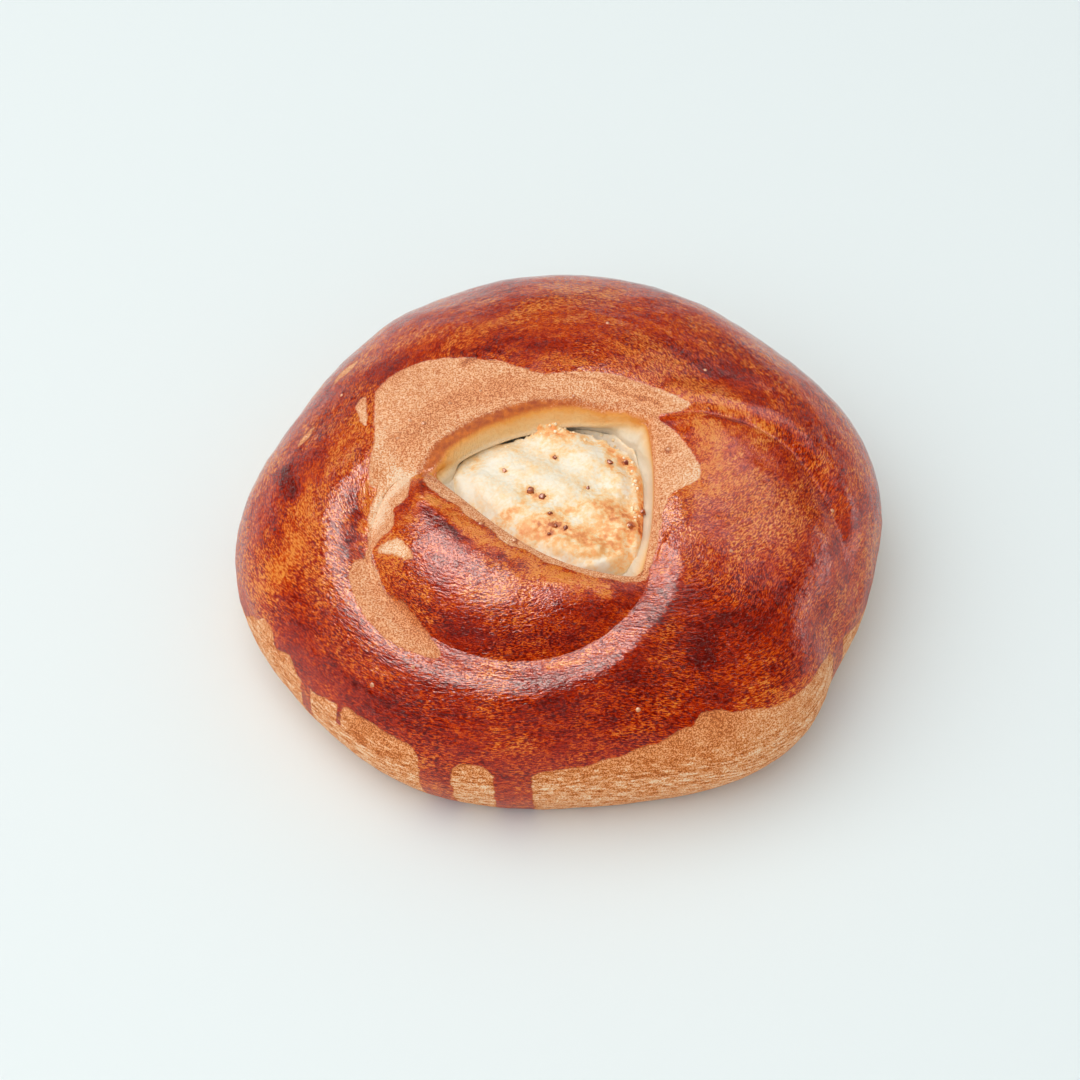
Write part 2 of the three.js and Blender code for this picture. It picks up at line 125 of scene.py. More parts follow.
# the curd's foot reaches the wall; its risen top ends a little sooner, and a thin skin of curd lies round it
CURD_EDGE = [
    (16.1, -11.5), (16.4, -7.2), (16.6, -2.4), (16, 2.2), (12, 5.6), (9, 7), (6, 7.8), (3, 8.2), (-0.8, 8.6),
    (-4.8, 8.4), (-9.6, 7.4), (-12.6, 6.4), (-15.8, 4.6), (-18.6, 2.2), (-20, -0.4), (-20, -3.4),
    (-19.4, -5.6), (-18.9, -9), (-16.6, -14), (-11, -20.8), (-5, -25.2), (1, -28.2), (6, -28), (9.2, -26.8),
    (11.8, -25.4), (14.3, -22.6), (15.2, -19.8), (16.2, -16),
]
CURD_TOP_EDGE = [
    (16.6, -11.5), (15.9, -7.2), (14.6, -3.2), (12.6, 0.3), (10.2, 1.6), (8.2, 3), (6, 4.4), (3.6, 5.2),
    (1.4, 6.4), (-0.4, 7), (-3.4, 7.1), (-4.6, 5.6), (-5.8, 4.3), (-7.6, 3.8), (-10, 3), (-12.8, 2.5),
    (-15.1, 1.2), (-17.6, -0.4), (-19.2, -3.2), (-19.8, -5.6), (-19.4, -9), (-17.2, -14.4), (-11.4, -21.4),
    (-5.4, -25.8), (1, -29), (6.6, -29), (11.8, -27), (15.6, -22.6), (16.8, -16),
]
CURD_IN_WALL, CURD_UNDER_LIP, CURD_FOOT = 0.4, 1.6, 0.97
CURD_SKIN_DROP, CURD_SKIN_FOLDS = 2.8, 0.35
CURD_TOP, CURD_DOME = 36.6, 1.9
CURD_BRIM, CURD_BRIM_BEGINS, CURD_BRIM_SINK, CURD_BRIM_LEAST = 1.8, 0.8, 0.5, 0.8
CURD_LUMPS = [(0.3, 14, 11, 0.4), (0.22, 9, -12, 1.9)]

# ----------------------------------------------------------------------------------------------------
# What the brush and the oven did, and some painted light and shade, in plan millimetres
# ----------------------------------------------------------------------------------------------------
# patches that the egg wash missed, each a closed loop
BARE_PATCHES = {
    "behind_opening": [
        (-34.9, -8.5), (-34.6, -4), (-34, 0.5), (-34.1, 7.5), (-34.2, 13.1), (-32.9, 15.6), (-30.3, 18.3),
        (-25.8, 20), (-21.4, 20.1), (-14.7, 19), (-11, 18.3), (-7.2, 16.6), (-2.8, 15.3), (4.6, 15.9),
        (11.2, 14.6), (15.8, 12.8), (20.2, 10.6), (24, 8.6), (22, 7.2), (18.4, 6), (16, 3), (0, 0), (-20, -5),
        (-26, -6.6), (-33, -9.6),
    ],
    "valley": [
        (-24.5, -6), (-26.8, -7.4), (-27.2, -12.6), (-28, -14.8), (-29.8, -15.9), (-29.8, -19.8),
        (-30.7, -20.8), (-32.6, -20.9), (-33.6, -21.9), (-33.8, -23.6), (-32.5, -26.1), (-31.4, -29.3),
        (-28.8, -32.4), (-26.6, -34.7), (-25.2, -36.4), (-23.4, -38.8), (-21.2, -42.6), (-22.9, -44.1),
        (-28.6, -41.9), (-33.3, -37.5), (-36.3, -32.5), (-37.8, -27.3), (-36.9, -24.4), (-35.4, -23.3),
        (-34.8, -21), (-34.7, -15.5), (-34.2, -12.4), (-32.4, -8.6), (-29, -6.6),
    ],
    "comma": [
        (-33, -21.9), (-31.6, -22), (-29.8, -22.8), (-28.3, -23.8), (-27.2, -25.6), (-26.2, -28.1),
        (-27.7, -27.7), (-29.2, -26.2), (-30.9, -24.7), (-32.4, -23.3),
    ],
    "front_lip": [
        (-24.2, -5.8), (-24.8, -8.2), (-24.1, -10.9), (-22, -13.9), (-18.6, -17.2), (-16.2, -20),
        (-12.7, -22.4), (-10, -25.5), (-6.3, -27.1), (-2.7, -29.4), (0.6, -30.3), (4.5, -32), (8.6, -32),
        (11.9, -32.1), (15.4, -30.5), (14, -27), (0, -22), (-14, -10),
    ],
    "right_lip": [
        (17, 5.2), (19.1, 3.5), (21.9, 0.1), (24.9, -6.5), (25.4, -9.2), (23.8, -11.4), (21.4, -12.8),
        (19.4, -14.6), (18.6, -17), (18, -20), (17.2, -25), (15.6, -28.6), (13, -26), (15, -10), (15, -2),
    ],
    "sliver": [(-37.6, 11.6), (-36.6, 13.4), (-35.7, 12.9), (-35.5, 5.4), (-36.9, 7.9)],
    "left_fleck": [(-48.6, 6.2), (-47.4, 8.9), (-45.5, 10.6), (-46.2, 8.4), (-47.4, 6.8)],
    "back_fleck": [(-42.6, 22.2), (-41, 25.8), (-37.8, 27.6), (-38.8, 25.2), (-40.8, 23.4)],
}
# height of the wash's lower edge round the bun: (degrees round the middle, height)
WASH_EDGE = [
    (-172, 11), (-164, 13), (-158.5, 18.2), (-155.4, 21.3), (-152.4, 21.2), (-150.9, 18.4), (-146.8, 19.9),
    (-143.1, 17.6), (-138.9, 17.8), (-135.1, 19.4), (-130.7, 20.9), (-126.7, 21), (-117.7, 20.3),
    (-115.4, 18.2), (-109.8, 17.6), (-108.2, 19.1), (-104.4, 19), (-102.2, 16.8), (-96, 17), (-93.7, 18.5),
    (-87.5, 19.3), (-81.2, 20.7), (-74.6, 22.4), (-67, 24.7), (-63.9, 26.4), (-61, 26.1), (-58.1, 24.9),
    (-47.7, 22.7), (-40.2, 22.2), (-30, 18), (-18, 14), (0, 12.5), (16, 15), (28, 17.5), (34, 14), (52, 13),
    (66, 16.5), (84, 18), (97, 15), (112, 12.5), (130, 15.5), (146, 17), (160, 13),
]
# runs of wash down the side: (degrees round the middle, half width, height at its end)
WASH_RUNS = [
    (-141.2, 1.3, 9.5), (-132.4, 0.45, 15.5), (-112.6, 3, -2), (-99.1, 3.3, -2), (-30, 2.4, 4), (31, 2.6, -2),
    (58, 0.8, 7), (104, 3.2, -2), (119, 1.2, 5), (171, 2.2, -2),
]
# how much deeper (above 0) or paler (below 0) the crust baked, with painted light and shade where a comment
# says so: a line in plan, reach, amount
BAKE_AND_LIGHT_MARKS = [
    # the ring's back
    ([(-49, 0), (-46, 5.1), (-39.9, 13.6), (-29.6, 21.9)], 3.4, 0.2), ([(-36.5, 4), (-37.5, 8)], 2.4, -0.16),
    ([(-25, 27), (-10, 31), (6, 29.5)], 5, -0.1), ([(-12, 24.2), (4, 23.4)], 2.2, 0.14),
    ([(14, 23.4), (18, 23)], 2.6, 0.14), ([(23, 22.8), (26.5, 20.6), (29.2, 17.8)], 2.4, 0.4),
    ([(34, 24), (42, 12), (46, 2)], 6, 0.1), ([(-19.3, 21.8), (-12, 20.8)], 1.1, 0.3),
    # the ring's left side
    ([(-51.6, 1), (-51, -2), (-49.4, -6)], 1.7, 0.42), ([(-52.6, -10.5), (-51.6, -15.5)], 2.2, 0.22),
    ([(-49.6, -18.6), (-51, -21.4)], 2.6, -0.36), ([(-46, -9), (-45, -18)], 4, -0.12),
    ([(-37.2, -11.6), (-37, -15), (-38.2, -22)], 1.4, 0.46), ([(-35.4, -9), (-35.8, -20)], 1.1, -0.3),
    ([(-35.2, -19.2), (-35.4, -22), (-34.8, -24.2)], 0.35, 0.5),
    ([(-50, -28), (-44, -34), (-37, -41)], 4.4, 0.16), ([(-39.5, 2), (-39, -6)], 2.6, -0.16),
    # the ring's front and right; its deeper marks towards the front and lower right are partly the crust's
    # own colour and partly painted shade
    ([(-34, -49), (-15, -54), (14, -54), (26, -50)], 5.5, 0.24),
    ([(12, -49.6), (21, -44.6), (29, -38)], 3.6, 0.2), ([(16.2, -39.2), (17.5, -38.6)], 1.5, 0.2),
    ([(21, -36), (30, -33), (38, -30)], 5.5, 0.22), ([(24, -43.4), (25.4, -42.4)], 2.2, 0.3),
    ([(26, -44), (38, -40)], 6, 0.2), ([(27, 2), (28, -6), (26, -12)], 3.2, -0.26),
    ([(24, 5.6), (32, 3)], 3.6, -0.2), ([(29, -1), (37, -2)], 4, -0.1), ([(27, -13), (34, -20)], 7, -0.06),
    ([(46, -8), (47.5, -28)], 4, 0.12), ([(20, 11.6), (30, 9.4), (38, 4.6)], 1.6, -0.24),
    # the roll
    ([(-29.5, -29.5), (-25, -36), (-19, -40.5), (-8, -42.8), (2, -41), (9, -37)], 3, 0.3),
    # the first mark on this line is painted light: a paler band that spreads the roll's highlight to its
    # right
    ([(-20, -27), (-10, -33), (4, -35.5)], 3.4, -0.1), ([(-29.4, -27.5), (-28, -21), (-24, -16)], 2, -0.14),
    ([(-1.8, -46.6), (3.5, -45)], 1.1, -0.44), ([(-20, -12), (-26, -18)], 2, -0.08),
    ([(-31.2, -23.2), (-29, -27.4)], 1.8, -0.22), ([(-24, -22), (-19, -29), (-12, -32.5)], 3.4, 0.2),
    # the ring's inner shoulder
    ([(-40.6, -8), (-41, -20), (-38, -34), (-30, -43), (-18, -49), (-6, -51), (6, -48.4), (15, -43),
      (20, -35)], 2.6, 0.08),
    # the matt front lip, and its scorched spots
    ([(-22, -11), (-15, -19.5), (-8, -25.6), (3, -31), (13, -31.5)], 1.8, 0.04),
    ([(-24.2, -14.4), (-17.6, -22), (-11, -27.4), (-6.2, -30.2), (-1.8, -32.6), (7, -35)], 1.9, -0.4),
    ([(-24.6, -18.4), (-22.4, -20.8), (-20, -23.6), (-17.8, -25.2), (-15.6, -25.6)], 0.9, 0.36),
    ([(-25.2, -11), (-24.8, -15)], 0.7, 0.34), ([(-10.6, -29.4), (-8.4, -30.4), (-6.4, -30.8)], 1, 0.5),
    ([(-19, -24.6), (-14, -27.2), (-10, -29.4)], 0.8, 0.2), ([(-14.3, -21.3), (-14.1, -21.5)], 0.5, 0.7),
    ([(-8.3, -24.3), (-8.1, -24.5)], 0.5, 0.7), ([(-1.1, -27.8), (-0.8, -27.9)], 0.45, 0.6),
    # the unwashed bands
    ([(-30, -1), (-20, 9), (-8, 12.5)], 2.6, 0.16), ([(-18, 18.4), (-15.6, 19.2), (-13, 18.6)], 0.5, 0.5),
    ([(19.4, -2.8), (20, -2.9)], 0.6, 0.7), ([(27.3, 5.9), (35.2, 5.6)], 0.8, 0.45),
    ([(1.4, 15.5), (6.5, 13.6), (12.1, 10.9), (18.5, 7.9)], 0.35, 0.3),
    ([(8, 14.6), (15, 11.4), (22, 8.4)], 0.3, 0.22),
    ([(-24, -6.6), (-28.6, -8), (-31.5, -11), (-32.6, -16)], 2, -0.46), ([(-33, 1), (-30, -6)], 2.4, -0.14),
]
# how strongly the lip's crest browned: (degrees round the eye, share)
CREST = [
    (10, 0.2), (45, 0.4), (66, 0.6), (85, 1), (110, 1.5), (150, 1.5), (165, 1.1), (180, 0.3), (240, 0.2),
    (300, 0.2), (345, 0.45),
]
# how far outside the lip's lowest line its browned crest lies: (degrees round the eye, distance)
CREST_DISTANCE = [
    (10, 0.9), (45, 1), (60, 1.5), (80, 2.1), (98, 2.4), (115, 2.3), (130, 2.6), (150, 2.5), (166, 1.4),
    (178, 0.8), (345, 0.9),
]
CREST_REACH = 1.7
# how far outside the lip's lowest line the pale crumb begins: (degrees round the eye, distance)
CRUMB_BEGINS = [
    (10, 0.3), (40, 0.9), (60, 1.9), (80, 2.7), (98, 3), (115, 2.8), (130, 3.1), (150, 2.8), (166, 1.4),
    (176, 0.6), (190, 0), (300, 0.2), (345, 0.3),
]

# toasted places on the curd: a line in plan, reach, amount
TOASTED = [
    ([(-4.6, 5.8), (-2.4, 5), (0.6, 4.4)], 1.8, 0.3), ([(2.4, 3.6), (6.6, 2.6), (9.2, 1)], 1.3, 0.24),
    ([(9.6, -0.4), (12.6, -2.4), (14.4, -7), (15.4, -11)], 1.2, 0.26),
    ([(15.4, -11), (15.4, -17)], 1.4, 0.26), ([(9.4, -16.6), (14.6, -16.8)], 1.7, 0.3),
    ([(6, -13.6), (11.5, -14.6)], 1.5, 0.26), ([(-6.8, -14), (-9.2, -15.2), (-10.8, -17)], 1.2, 0.3),
    ([(-4.6, -17), (-2, -17.8), (0.4, -17.4)], 1.1, 0.3), ([(0.6, -15), (3.6, -14)], 1, 0.22),
    ([(-7, -19.4), (2, -20.4), (12, -20)], 2.4, 0.28), ([(4, -23.6), (11, -23)], 2.8, 0.22),
    ([(9.6, -4.2), (10.8, -5.4)], 0.8, 0.24), ([(-8.6, 0.6), (-7.4, -0.8)], 0.8, 0.12),
    ([(-17, -4), (-14, -1)], 1.8, 0.1), ([(9, -9), (12, -13)], 4.5, 0.12), ([(-2, 1.4), (3, 0)], 2.6, 0.12),
    ([(-2, -16), (6, -17)], 4, 0.08), ([(4, -10.8), (5.4, -10.4)], 0.7, 0.1),
]
# curd that stands up or slumps: middle, reach, height
CURD_RISES = [
    ((-3.7, 6), 0.8, 2.2), ((-2.3, 6.2), 0.8, 1.5), ((-0.7, 6), 0.9, 2.1), ((0.8, 5.2), 1, 1.2),
    ((-1.8, 4.4), 2, 0.9), ((2.8, 3.8), 1.6, 0.7), ((-9.5, 1.8), 2.2, 0.3), ((5, 0.2), 2.4, 0.5),
    ((12.4, -8), 3, 0.4), ((12.2, -17.4), 2.4, 0.7), ((3, -24.8), 2.2, 0.9), ((6.6, -23.4), 1.7, 0.9),
    ((0.2, -22.4), 1.6, 0.6), ((10.8, -23.6), 1.8, 0.7), ((13, -21), 1.2, -0.7), ((-12, -8), 6, 0.3),
    ((0, -20.4), 1.5, -0.3),
]
# scorched beads of curd: (x, y, radius)
SCORCHED_BEADS = [
    (-5.4, -10.2, 0.62), (-3.2, -11.6, 0.6), (-10.1, -5.1, 0.34), (-1, -2, 0.36), (-16.5, -13.4, 0.5),
    (9, -3, 0.5), (12, -1.8, 0.5), (14.9, -13, 0.55), (15, -17.6, 0.6), (12.6, -18.2, 0.45),
    (-1.9, -15.9, 0.36), (-1, -18.5, 0.42), (0.9, -19.2, 0.36), (-2.1, -20.1, 0.3), (5, -9.4, 0.26),
]
# blisters on the crust: (x, y, radius)
BLISTERS = [
    (-24.9, 3.8, 0.62), (-27.4, 4.6, 0.42), (-20.2, 8.4, 0.4), (-29.6, 0.6, 0.45), (-32, 3.6, 0.36),
    (-14.6, 11.2, 0.34), (2.5, 10.2, 0.42), (19.6, -2.6, 0.5), (-33.4, -45.8, 0.5), (13.6, -52.4, 0.5),
    (-14.2, -21.4, 0.42), (-8.2, -24.4, 0.45), (-40.6, 17, 0.4), (9, 30, 0.4), (27, 18.6, 0.4),
    (49.8, -8, 0.42), (-47, 8.4, 0.4), (30.4, -24.6, 0.36), (-26, -45.6, 0.36),
]

# ----------------------------------------------------------------------------------------------------
# Lines and patches in plan
# ----------------------------------------------------------------------------------------------------
LINE_STEPS, BOW_STEPS = 12, 40
REACH_STEPS, REACH_EASE = 40, 0.8
CORNER_ROUNDING = 3


def smoothstep(low, high, x):
    t = np.clip((x - low) / (high - low), 0, 1)
    return t * t * (3 - 2 * t)


def bell(x):
    return np.exp(-x * x)


def mix(a, b, share):
    return a + (b - a) * share


def spline(points, closed=False):
    """A smooth line through the points, as short straight steps."""
    p = np.asarray(points, float)
    ends = (p[-1:], p[:2]) if closed else (2 * p[:1] - p[1:2], 2 * p[-1:] - p[-2:-1])
    q = np.vstack([ends[0], p, ends[1]])
    t = np.linspace(0, 1, LINE_STEPS, endpoint=False)[:, None]
    steps = []
    for a, b, c, d in zip(q[:-3], q[1:-2], q[2:-1], q[3:]):
        slope, bend, twist = c - a, 2 * a - 5 * b + 4 * c - d, 3 * b - a - 3 * c + d
        steps.append(0.5 * (2 * b + slope * t + bend * t**2 + twist * t**3))
    return np.vstack(steps + [p[:1] if closed else p[-1:]])


def bow(start, pull, end):
    """A curve between two places, pulled towards a third."""
    t = np.linspace(0, 1, BOW_STEPS + 1)[:, None]
    return (1 - t)**2 * np.array(start) + 2 * t * (1 - t) * np.array(pull) + t**2 * np.array(end)


def nearest(line, plan):
    """How far the line is, the share of its length run there, and the side (1 left, -1 right)."""
    distance = np.full(len(plan), np.inf)
    run = np.zeros(len(plan))
    side = np.ones(len(plan))
    length_so_far = 0.0
    for start, end in zip(line[:-1], line[1:]):
        step = end - start
        length = np.hypot(*step)
        away = plan - start
        t = np.clip(away @ step / length**2, 0, 1)
        here = np.hypot(away[:, 0] - t * step[0], away[:, 1] - t * step[1])
        closer = here < distance
        distance[closer] = here[closer]
        run[closer] = length_so_far + t[closer] * length
        side[closer] = np.where(step[0] * away[:, 1] - step[1] * away[:, 0] < 0, -1, 1)[closer]
        length_so_far += length
    return distance, run / length_so_far, side


def is_inside(loop, plan):
    inside = np.zeros(len(plan), bool)
    x, y = plan.T
    for (x1, y1), (x2, y2) in zip(loop, np.roll(loop, -1, axis=0)):
        if y1 == y2:
            continue
        inside ^= ((y1 > y) != (y2 > y)) & (x < x1 + (x2 - x1) * (y - y1) / (y2 - y1))
    return inside


def patch_depth(points, plan):
    """How far each place is inside a closed loop, below 0 outside it."""
    loop = spline(points, closed=True)
    return nearest(loop, plan)[0] * np.where(is_inside(loop, plan), 1, -1)


def knots_at(knots, share):
    return np.interp(share, *np.transpose(knots))


def around(knots, angle):
    """A value that changes round a middle, eased between its (degrees, value) knots."""
    at, value = np.transpose(sorted((degrees % 360, value) for degrees, value in knots))
    at = np.concatenate([at[-1:] - 360, at, at[:1] + 360])
    value = np.concatenate([value[-1:], value, value[:1]])
    degrees = np.degrees(angle) % 360
    i = np.clip(np.searchsorted(at, degrees, side="right") - 1, 0, len(at) - 2)
    return mix(value[i], value[i + 1], smoothstep(0, 1, (degrees - at[i]) / (at[i + 1] - at[i])))


def reach_of(loop):
    """A function that says how far a loop round the eye reaches at an angle."""
    away = loop - np.array(EYE)
    angle, reach = np.arctan2(away[:, 1], away[:, 0]), np.hypot(*away.T)
    order = np.argsort(angle)
    angle, reach = angle[order], reach[order]
    turns = np.concatenate([angle - 2 * np.pi, angle, angle + 2 * np.pi])
    reaches = np.tile(reach, 3)
    return lambda a: np.interp(a, turns, reaches)


FRONT_LIP = bow(LEFT_CORNER, FRONT_PULL, FRONT_CORNER)
RIGHT_LIP = bow(FRONT_CORNER, RIGHT_PULL, BACK_CORNER)
BACK_LIP = bow(BACK_CORNER, BACK_PULL, LEFT_CORNER)
RIM = np.vstack([FRONT_LIP, RIGHT_LIP[1:], BACK_LIP[1:]])
VALLEY = spline(VALLEY_LINE)
CREASE = spline(CREASE_LINE)
ROLL = np.vstack([VALLEY, FRONT_LIP[::-1]])
sharp_rim_reach = reach_of(RIM)
curd_reach = reach_of(spline(CURD_EDGE, closed=True))
valley_reach = reach_of(VALLEY)


def rim_reach(angle):
    """The opening's reach, with its corners rounded over a few degrees."""
    offsets = np.radians(np.linspace(-CORNER_ROUNDING, CORNER_ROUNDING, 9))
    return np.mean([sharp_rim_reach(angle + offset) for offset in offsets], axis=0)


# ----------------------------------------------------------------------------------------------------
# The bun's form
# ----------------------------------------------------------------------------------------------------
def crown_share(plan):
    """0 at the middle and 1 at the bulge."""
    away = plan - np.array(MIDDLE)
    angle, distance = np.arctan2(away[:, 1], away[:, 0]), np.hypot(*away.T)
    wave = sum(a * np.cos(n * angle) + b * np.sin(n * angle) for n, a, b in UNEVEN)
    return distance / (MEAN_RADIUS * (1 + wave * np.minimum(distance / MEAN_RADIUS, 1)**3))


def crown_height(plan):
    return BULGE_HEIGHT + (HEIGHT - BULGE_HEIGHT) * np.sqrt(np.maximum(1 - crown_share(plan)**CROWN_POWER, 0))


def crown_normal(plan):
    step = 0.05
    slope = [(crown_share(plan + away) - crown_share(plan - away)) / (2 * step)
             for away in np.array([[step, 0], [0, step]])]
    lean = CROWN_POWER * crown_share(plan)**(CROWN_POWER - 1)
    rise = 2 * (crown_height(plan) - BULGE_HEIGHT) / (HEIGHT - BULGE_HEIGHT)**2
    normal = np.stack([lean * slope[0], lean * slope[1], rise], -1)
    return normal / np.linalg.norm(normal, axis=1, keepdims=True)


def from_eye(angle, reach):
    return np.stack([EYE[0] + reach * np.cos(angle), EYE[1] + reach * np.sin(angle)], -1)


def reach_of_share(angle, share):
    reach = np.full(len(angle), MEAN_RADIUS)
    for _ in range(REACH_STEPS):
        reach = reach * (share / crown_share(from_eye(angle, reach)))**REACH_EASE
    return reach


def waves(sizes, plan):
    x, y = plan.T
    return sum(size * np.sin(2 * np.pi * (x / long_x + y / long_y) + start)
               for size, long_x, long_y, start in sizes)


def eye_angle(plan):
    return np.arctan2(plan[:, 1] - EYE[1], plan[:, 0] - EYE[0])


def relief(plan):
    """How far the skin stands out from the plain crown."""
    angle = eye_angle(plan)
    rim = nearest(RIM, plan)[0]
    valley, valley_share, side = nearest(VALLEY, plan)
    crease, crease_share, crease_side = nearest(CREASE, plan)
    on_ring = side < 0
    height = waves(SWELLS, plan)
    height -= around(LIP_SAG, angle) * bell(rim / around(SAG_REACH, angle))
    reach = np.where(on_ring, VALLEY_REACH_RING, VALLEY_REACH_ROLL)
    rounded = np.hypot(valley, VALLEY_ROUNDING) / reach
    height -= knots_at(VALLEY_DEPTH, valley_share) * np.exp(-rounded**VALLEY_POWER)
    along = smoothstep(*SHOULDER_GROWS, valley_share)
    along *= 1 - SHOULDER_FADE * smoothstep(*SHOULDER_FADES, valley_share)
    beyond = (valley - knots_at(SHOULDER_DISTANCE, valley_share)) / knots_at(SHOULDER_REACH, valley_share)
    height += on_ring * SHOULDER_HEIGHT * along * bell(beyond)
    width = np.maximum(rim + valley, 0.01)
    fullness = ROLL_FULLNESS * np.minimum(width, ROLL_WIDEST)
    height += is_inside(ROLL, plan) * fullness * np.sin(np.pi * (rim / width)**ROLL_LEAN)
    height -= knots_at(CREASE_DEPTH, crease_share) * bell(crease / CREASE_REACH)
    height -= knots_at(CREASE_DIP, crease_share) * bell(crease / DIP_REACH)
    height += (crease_side > 0) * knots_at(CREASE_SWELL, crease_share) * bell(crease / SWELL_REACH - SWELL_AT)
    return height


def dent_side(points, share):
    """Presses the tucked lobe's crease into the side, by a share of its full depth."""
    away = points[:, :2] - np.array(MIDDLE)
    turn = np.degrees(np.arctan2(away[:, 1], away[:, 0])) - DENT_ANGLE
    depth = DENT_DEPTH * share * bell(turn / DENT_HALF_WIDTH)
    points = points.copy()
    points[:, :2] -= away / np.linalg.norm(away, axis=1, keepdims=True) * depth[:, None]
    return points


def crown_points(plan):
    """The crown with its relief, which calms towards the bulge, and its lips rolled over into the opening."""
    share = crown_share(plan)
    calm = 1 - EDGE_CALM * smoothstep(EDGE_CALM_BEGINS, 1, share)
    height = relief(plan) * (calm * (1 - smoothstep(RELIEF_ENDS, 1, share)))
    points = np.column_stack([plan, crown_height(plan)]) + crown_normal(plan) * height[:, None]
    points = dent_side(points, smoothstep(DENT_TOP, 1, share))
    radius = around(LIP_RADIUS, eye_angle(plan))
    inward = radius - np.minimum(nearest(RIM, plan)[0], radius)
    points[:, 2] -= radius - np.sqrt(np.maximum(radius**2 - inward**2, 0))
    return points


# ----------------------------------------------------------------------------------------------------
# Rings of the two skins
# ----------------------------------------------------------------------------------------------------
ANGLES = 512
ANGLE = np.linspace(-np.pi, np.pi, ANGLES, endpoint=False)
BASE_RINGS, SIDE_RINGS, SHOULDER_RINGS, ROLL_RINGS, WALL_RINGS, FLOOR_RINGS = 3, 20, 74, 56, 20, 9
CURD_UNDER_RINGS, CURD_BRIM_RINGS, CURD_TOP_RINGS = 4, 14, 74


def flat_ring(reach, height):
    return np.column_stack([from_eye(ANGLE, reach), np.broadcast_to(height, ANGLE.shape)])


def valley_ring_reach(lip, bulge):
    """The ring that lies along the valley's bottom, and past the valley's ends runs midway over the crown."""
    degrees = np.degrees(ANGLE) % 360
    start, first, last, end = VALLEY_SPAN
    share = smoothstep(start, first, degrees) * (1 - smoothstep(last, end, degrees))
    return mix(mix(lip, bulge, MIDWAY), valley_reach(np.radians(np.clip(degrees, first, last))), share)


def bun_rings():
    """The bun's rings from the base to the hollow's floor, and the number of the ring at the lip."""
    foot = reach_of_share(ANGLE, 1 - FOOT_INSET) * BASE_SHARE
    rings = [flat_ring(foot * i / BASE_RINGS, 0.0) for i in range(1, BASE_RINGS + 1)]
    for t in np.linspace(0, 1, SIDE_RINGS, endpoint=False):
        z = BULGE_HEIGHT * mix(SIDE_FOOT, 1, t)
        share = 1 - FOOT_INSET * (1 - z / BULGE_HEIGHT)**FOOT_POWER
        rings.append(dent_side(flat_ring(reach_of_share(ANGLE, share), z), mix(DENT_AT_FOOT, 1, t)))
    lip, bulge = rim_reach(ANGLE), reach_of_share(ANGLE, 1.0)
    valley = valley_ring_reach(lip, bulge)
    spreads = np.sin(np.pi / 2 * (1 - np.linspace(0, 1, SHOULDER_RINGS, endpoint=False)))
    reaches = [mix(valley, bulge, spread) for spread in spreads]
    even = 1 - np.linspace(0, 1, ROLL_RINGS + 1)
    reaches += [mix(lip, valley, spread) for spread in (even + smoothstep(0, 1, even)) / 2]
    crown = crown_points(np.vstack([from_eye(ANGLE, reach) for reach in reaches]))
    rings += list(crown.reshape(-1, ANGLES, 3))
    lip_number = len(rings) - 1
    lip_ring = rings[-1]
    bulge_in = around(WALL_BULGE, ANGLE)
    undercut = smoothstep(0, 0.5, bulge_in)
    for t in np.linspace(0, 1, WALL_RINGS + 1)[1:]:
        sloped = 1 - np.sqrt(1 - (t * 0.999)**2)
        tucked = smoothstep(WALL_BULGE_END - TUCK_BEFORE, WALL_BULGE_END + TUCK_AFTER, t)
        out = around(WALL_OUT, ANGLE) * mix(sloped, tucked, undercut)
        out -= bulge_in * np.sin(np.pi / 2 * min(t / WALL_BULGE_END * BULGE_HASTE, 1)) * (1 - tucked)
        drop = around(WALL_DROP, ANGLE) * np.sin(t * np.pi / 2)
        rings.append(lip_ring + np.column_stack([out * np.cos(ANGLE), out * np.sin(ANGLE), -drop]))
    foot = rings[-1]
    for t in np.linspace(1, 0, FLOOR_RINGS + 1)[1:-1]:
        rings.append(flat_ring(eye_reach(foot) * t, floor_height(foot, t)))
    return np.array(rings), lip_number, foot


def eye_reach(points):
    return np.hypot(points[:, 0] - EYE[0], points[:, 1] - EYE[1])


def floor_height(foot, share):
    return mix(HOLLOW_FLOOR, foot[:, 2], share**HOLLOW_POWER)


def curd_height(plan, share):
    return CURD_TOP + CURD_DOME * (1 - share**2) + waves(CURD_LUMPS, plan)


def curd_rings(foot):
    """The filling's rings from under its middle, round its brim and in over its top."""
    wall = eye_reach(foot)
    edge = np.minimum(np.minimum(curd_reach(ANGLE), rim_reach(ANGLE) + CURD_UNDER_LIP), wall + CURD_IN_WALL)
    low = floor_height(foot, np.minimum(edge * CURD_FOOT / wall, 1))
    inner = edge - CURD_BRIM
    sunk = curd_height(from_eye(ANGLE, inner), inner / edge) - CURD_BRIM_SINK
    brim = np.maximum(sunk, low + CURD_BRIM_LEAST)
    rings = [flat_ring(edge * CURD_FOOT * t, floor_height(foot, edge * CURD_FOOT * t / wall))
             for t in np.linspace(0, 1, CURD_UNDER_RINGS + 1)[1:]]
    for bend in np.linspace(0, np.pi / 2, CURD_BRIM_RINGS + 1)[1:]:
        rings.append(flat_ring(edge - CURD_BRIM * (1 - np.cos(bend)), mix(low, brim, np.sin(bend))))
    for share in np.linspace(1, 0, CURD_TOP_RINGS + 1)[1:-1]:
        reach = inner * share
        level = curd_height(from_eye(ANGLE, reach), reach / edge)
        rings.append(flat_ring(reach, mix(level, brim, smoothstep(CURD_BRIM_BEGINS, 1, share))))
    return np.array(rings)


def new_object(name, data):
    made = bpy.data.objects.new(name, data)
    bpy.context.scene.collection.objects.link(made)
    return made


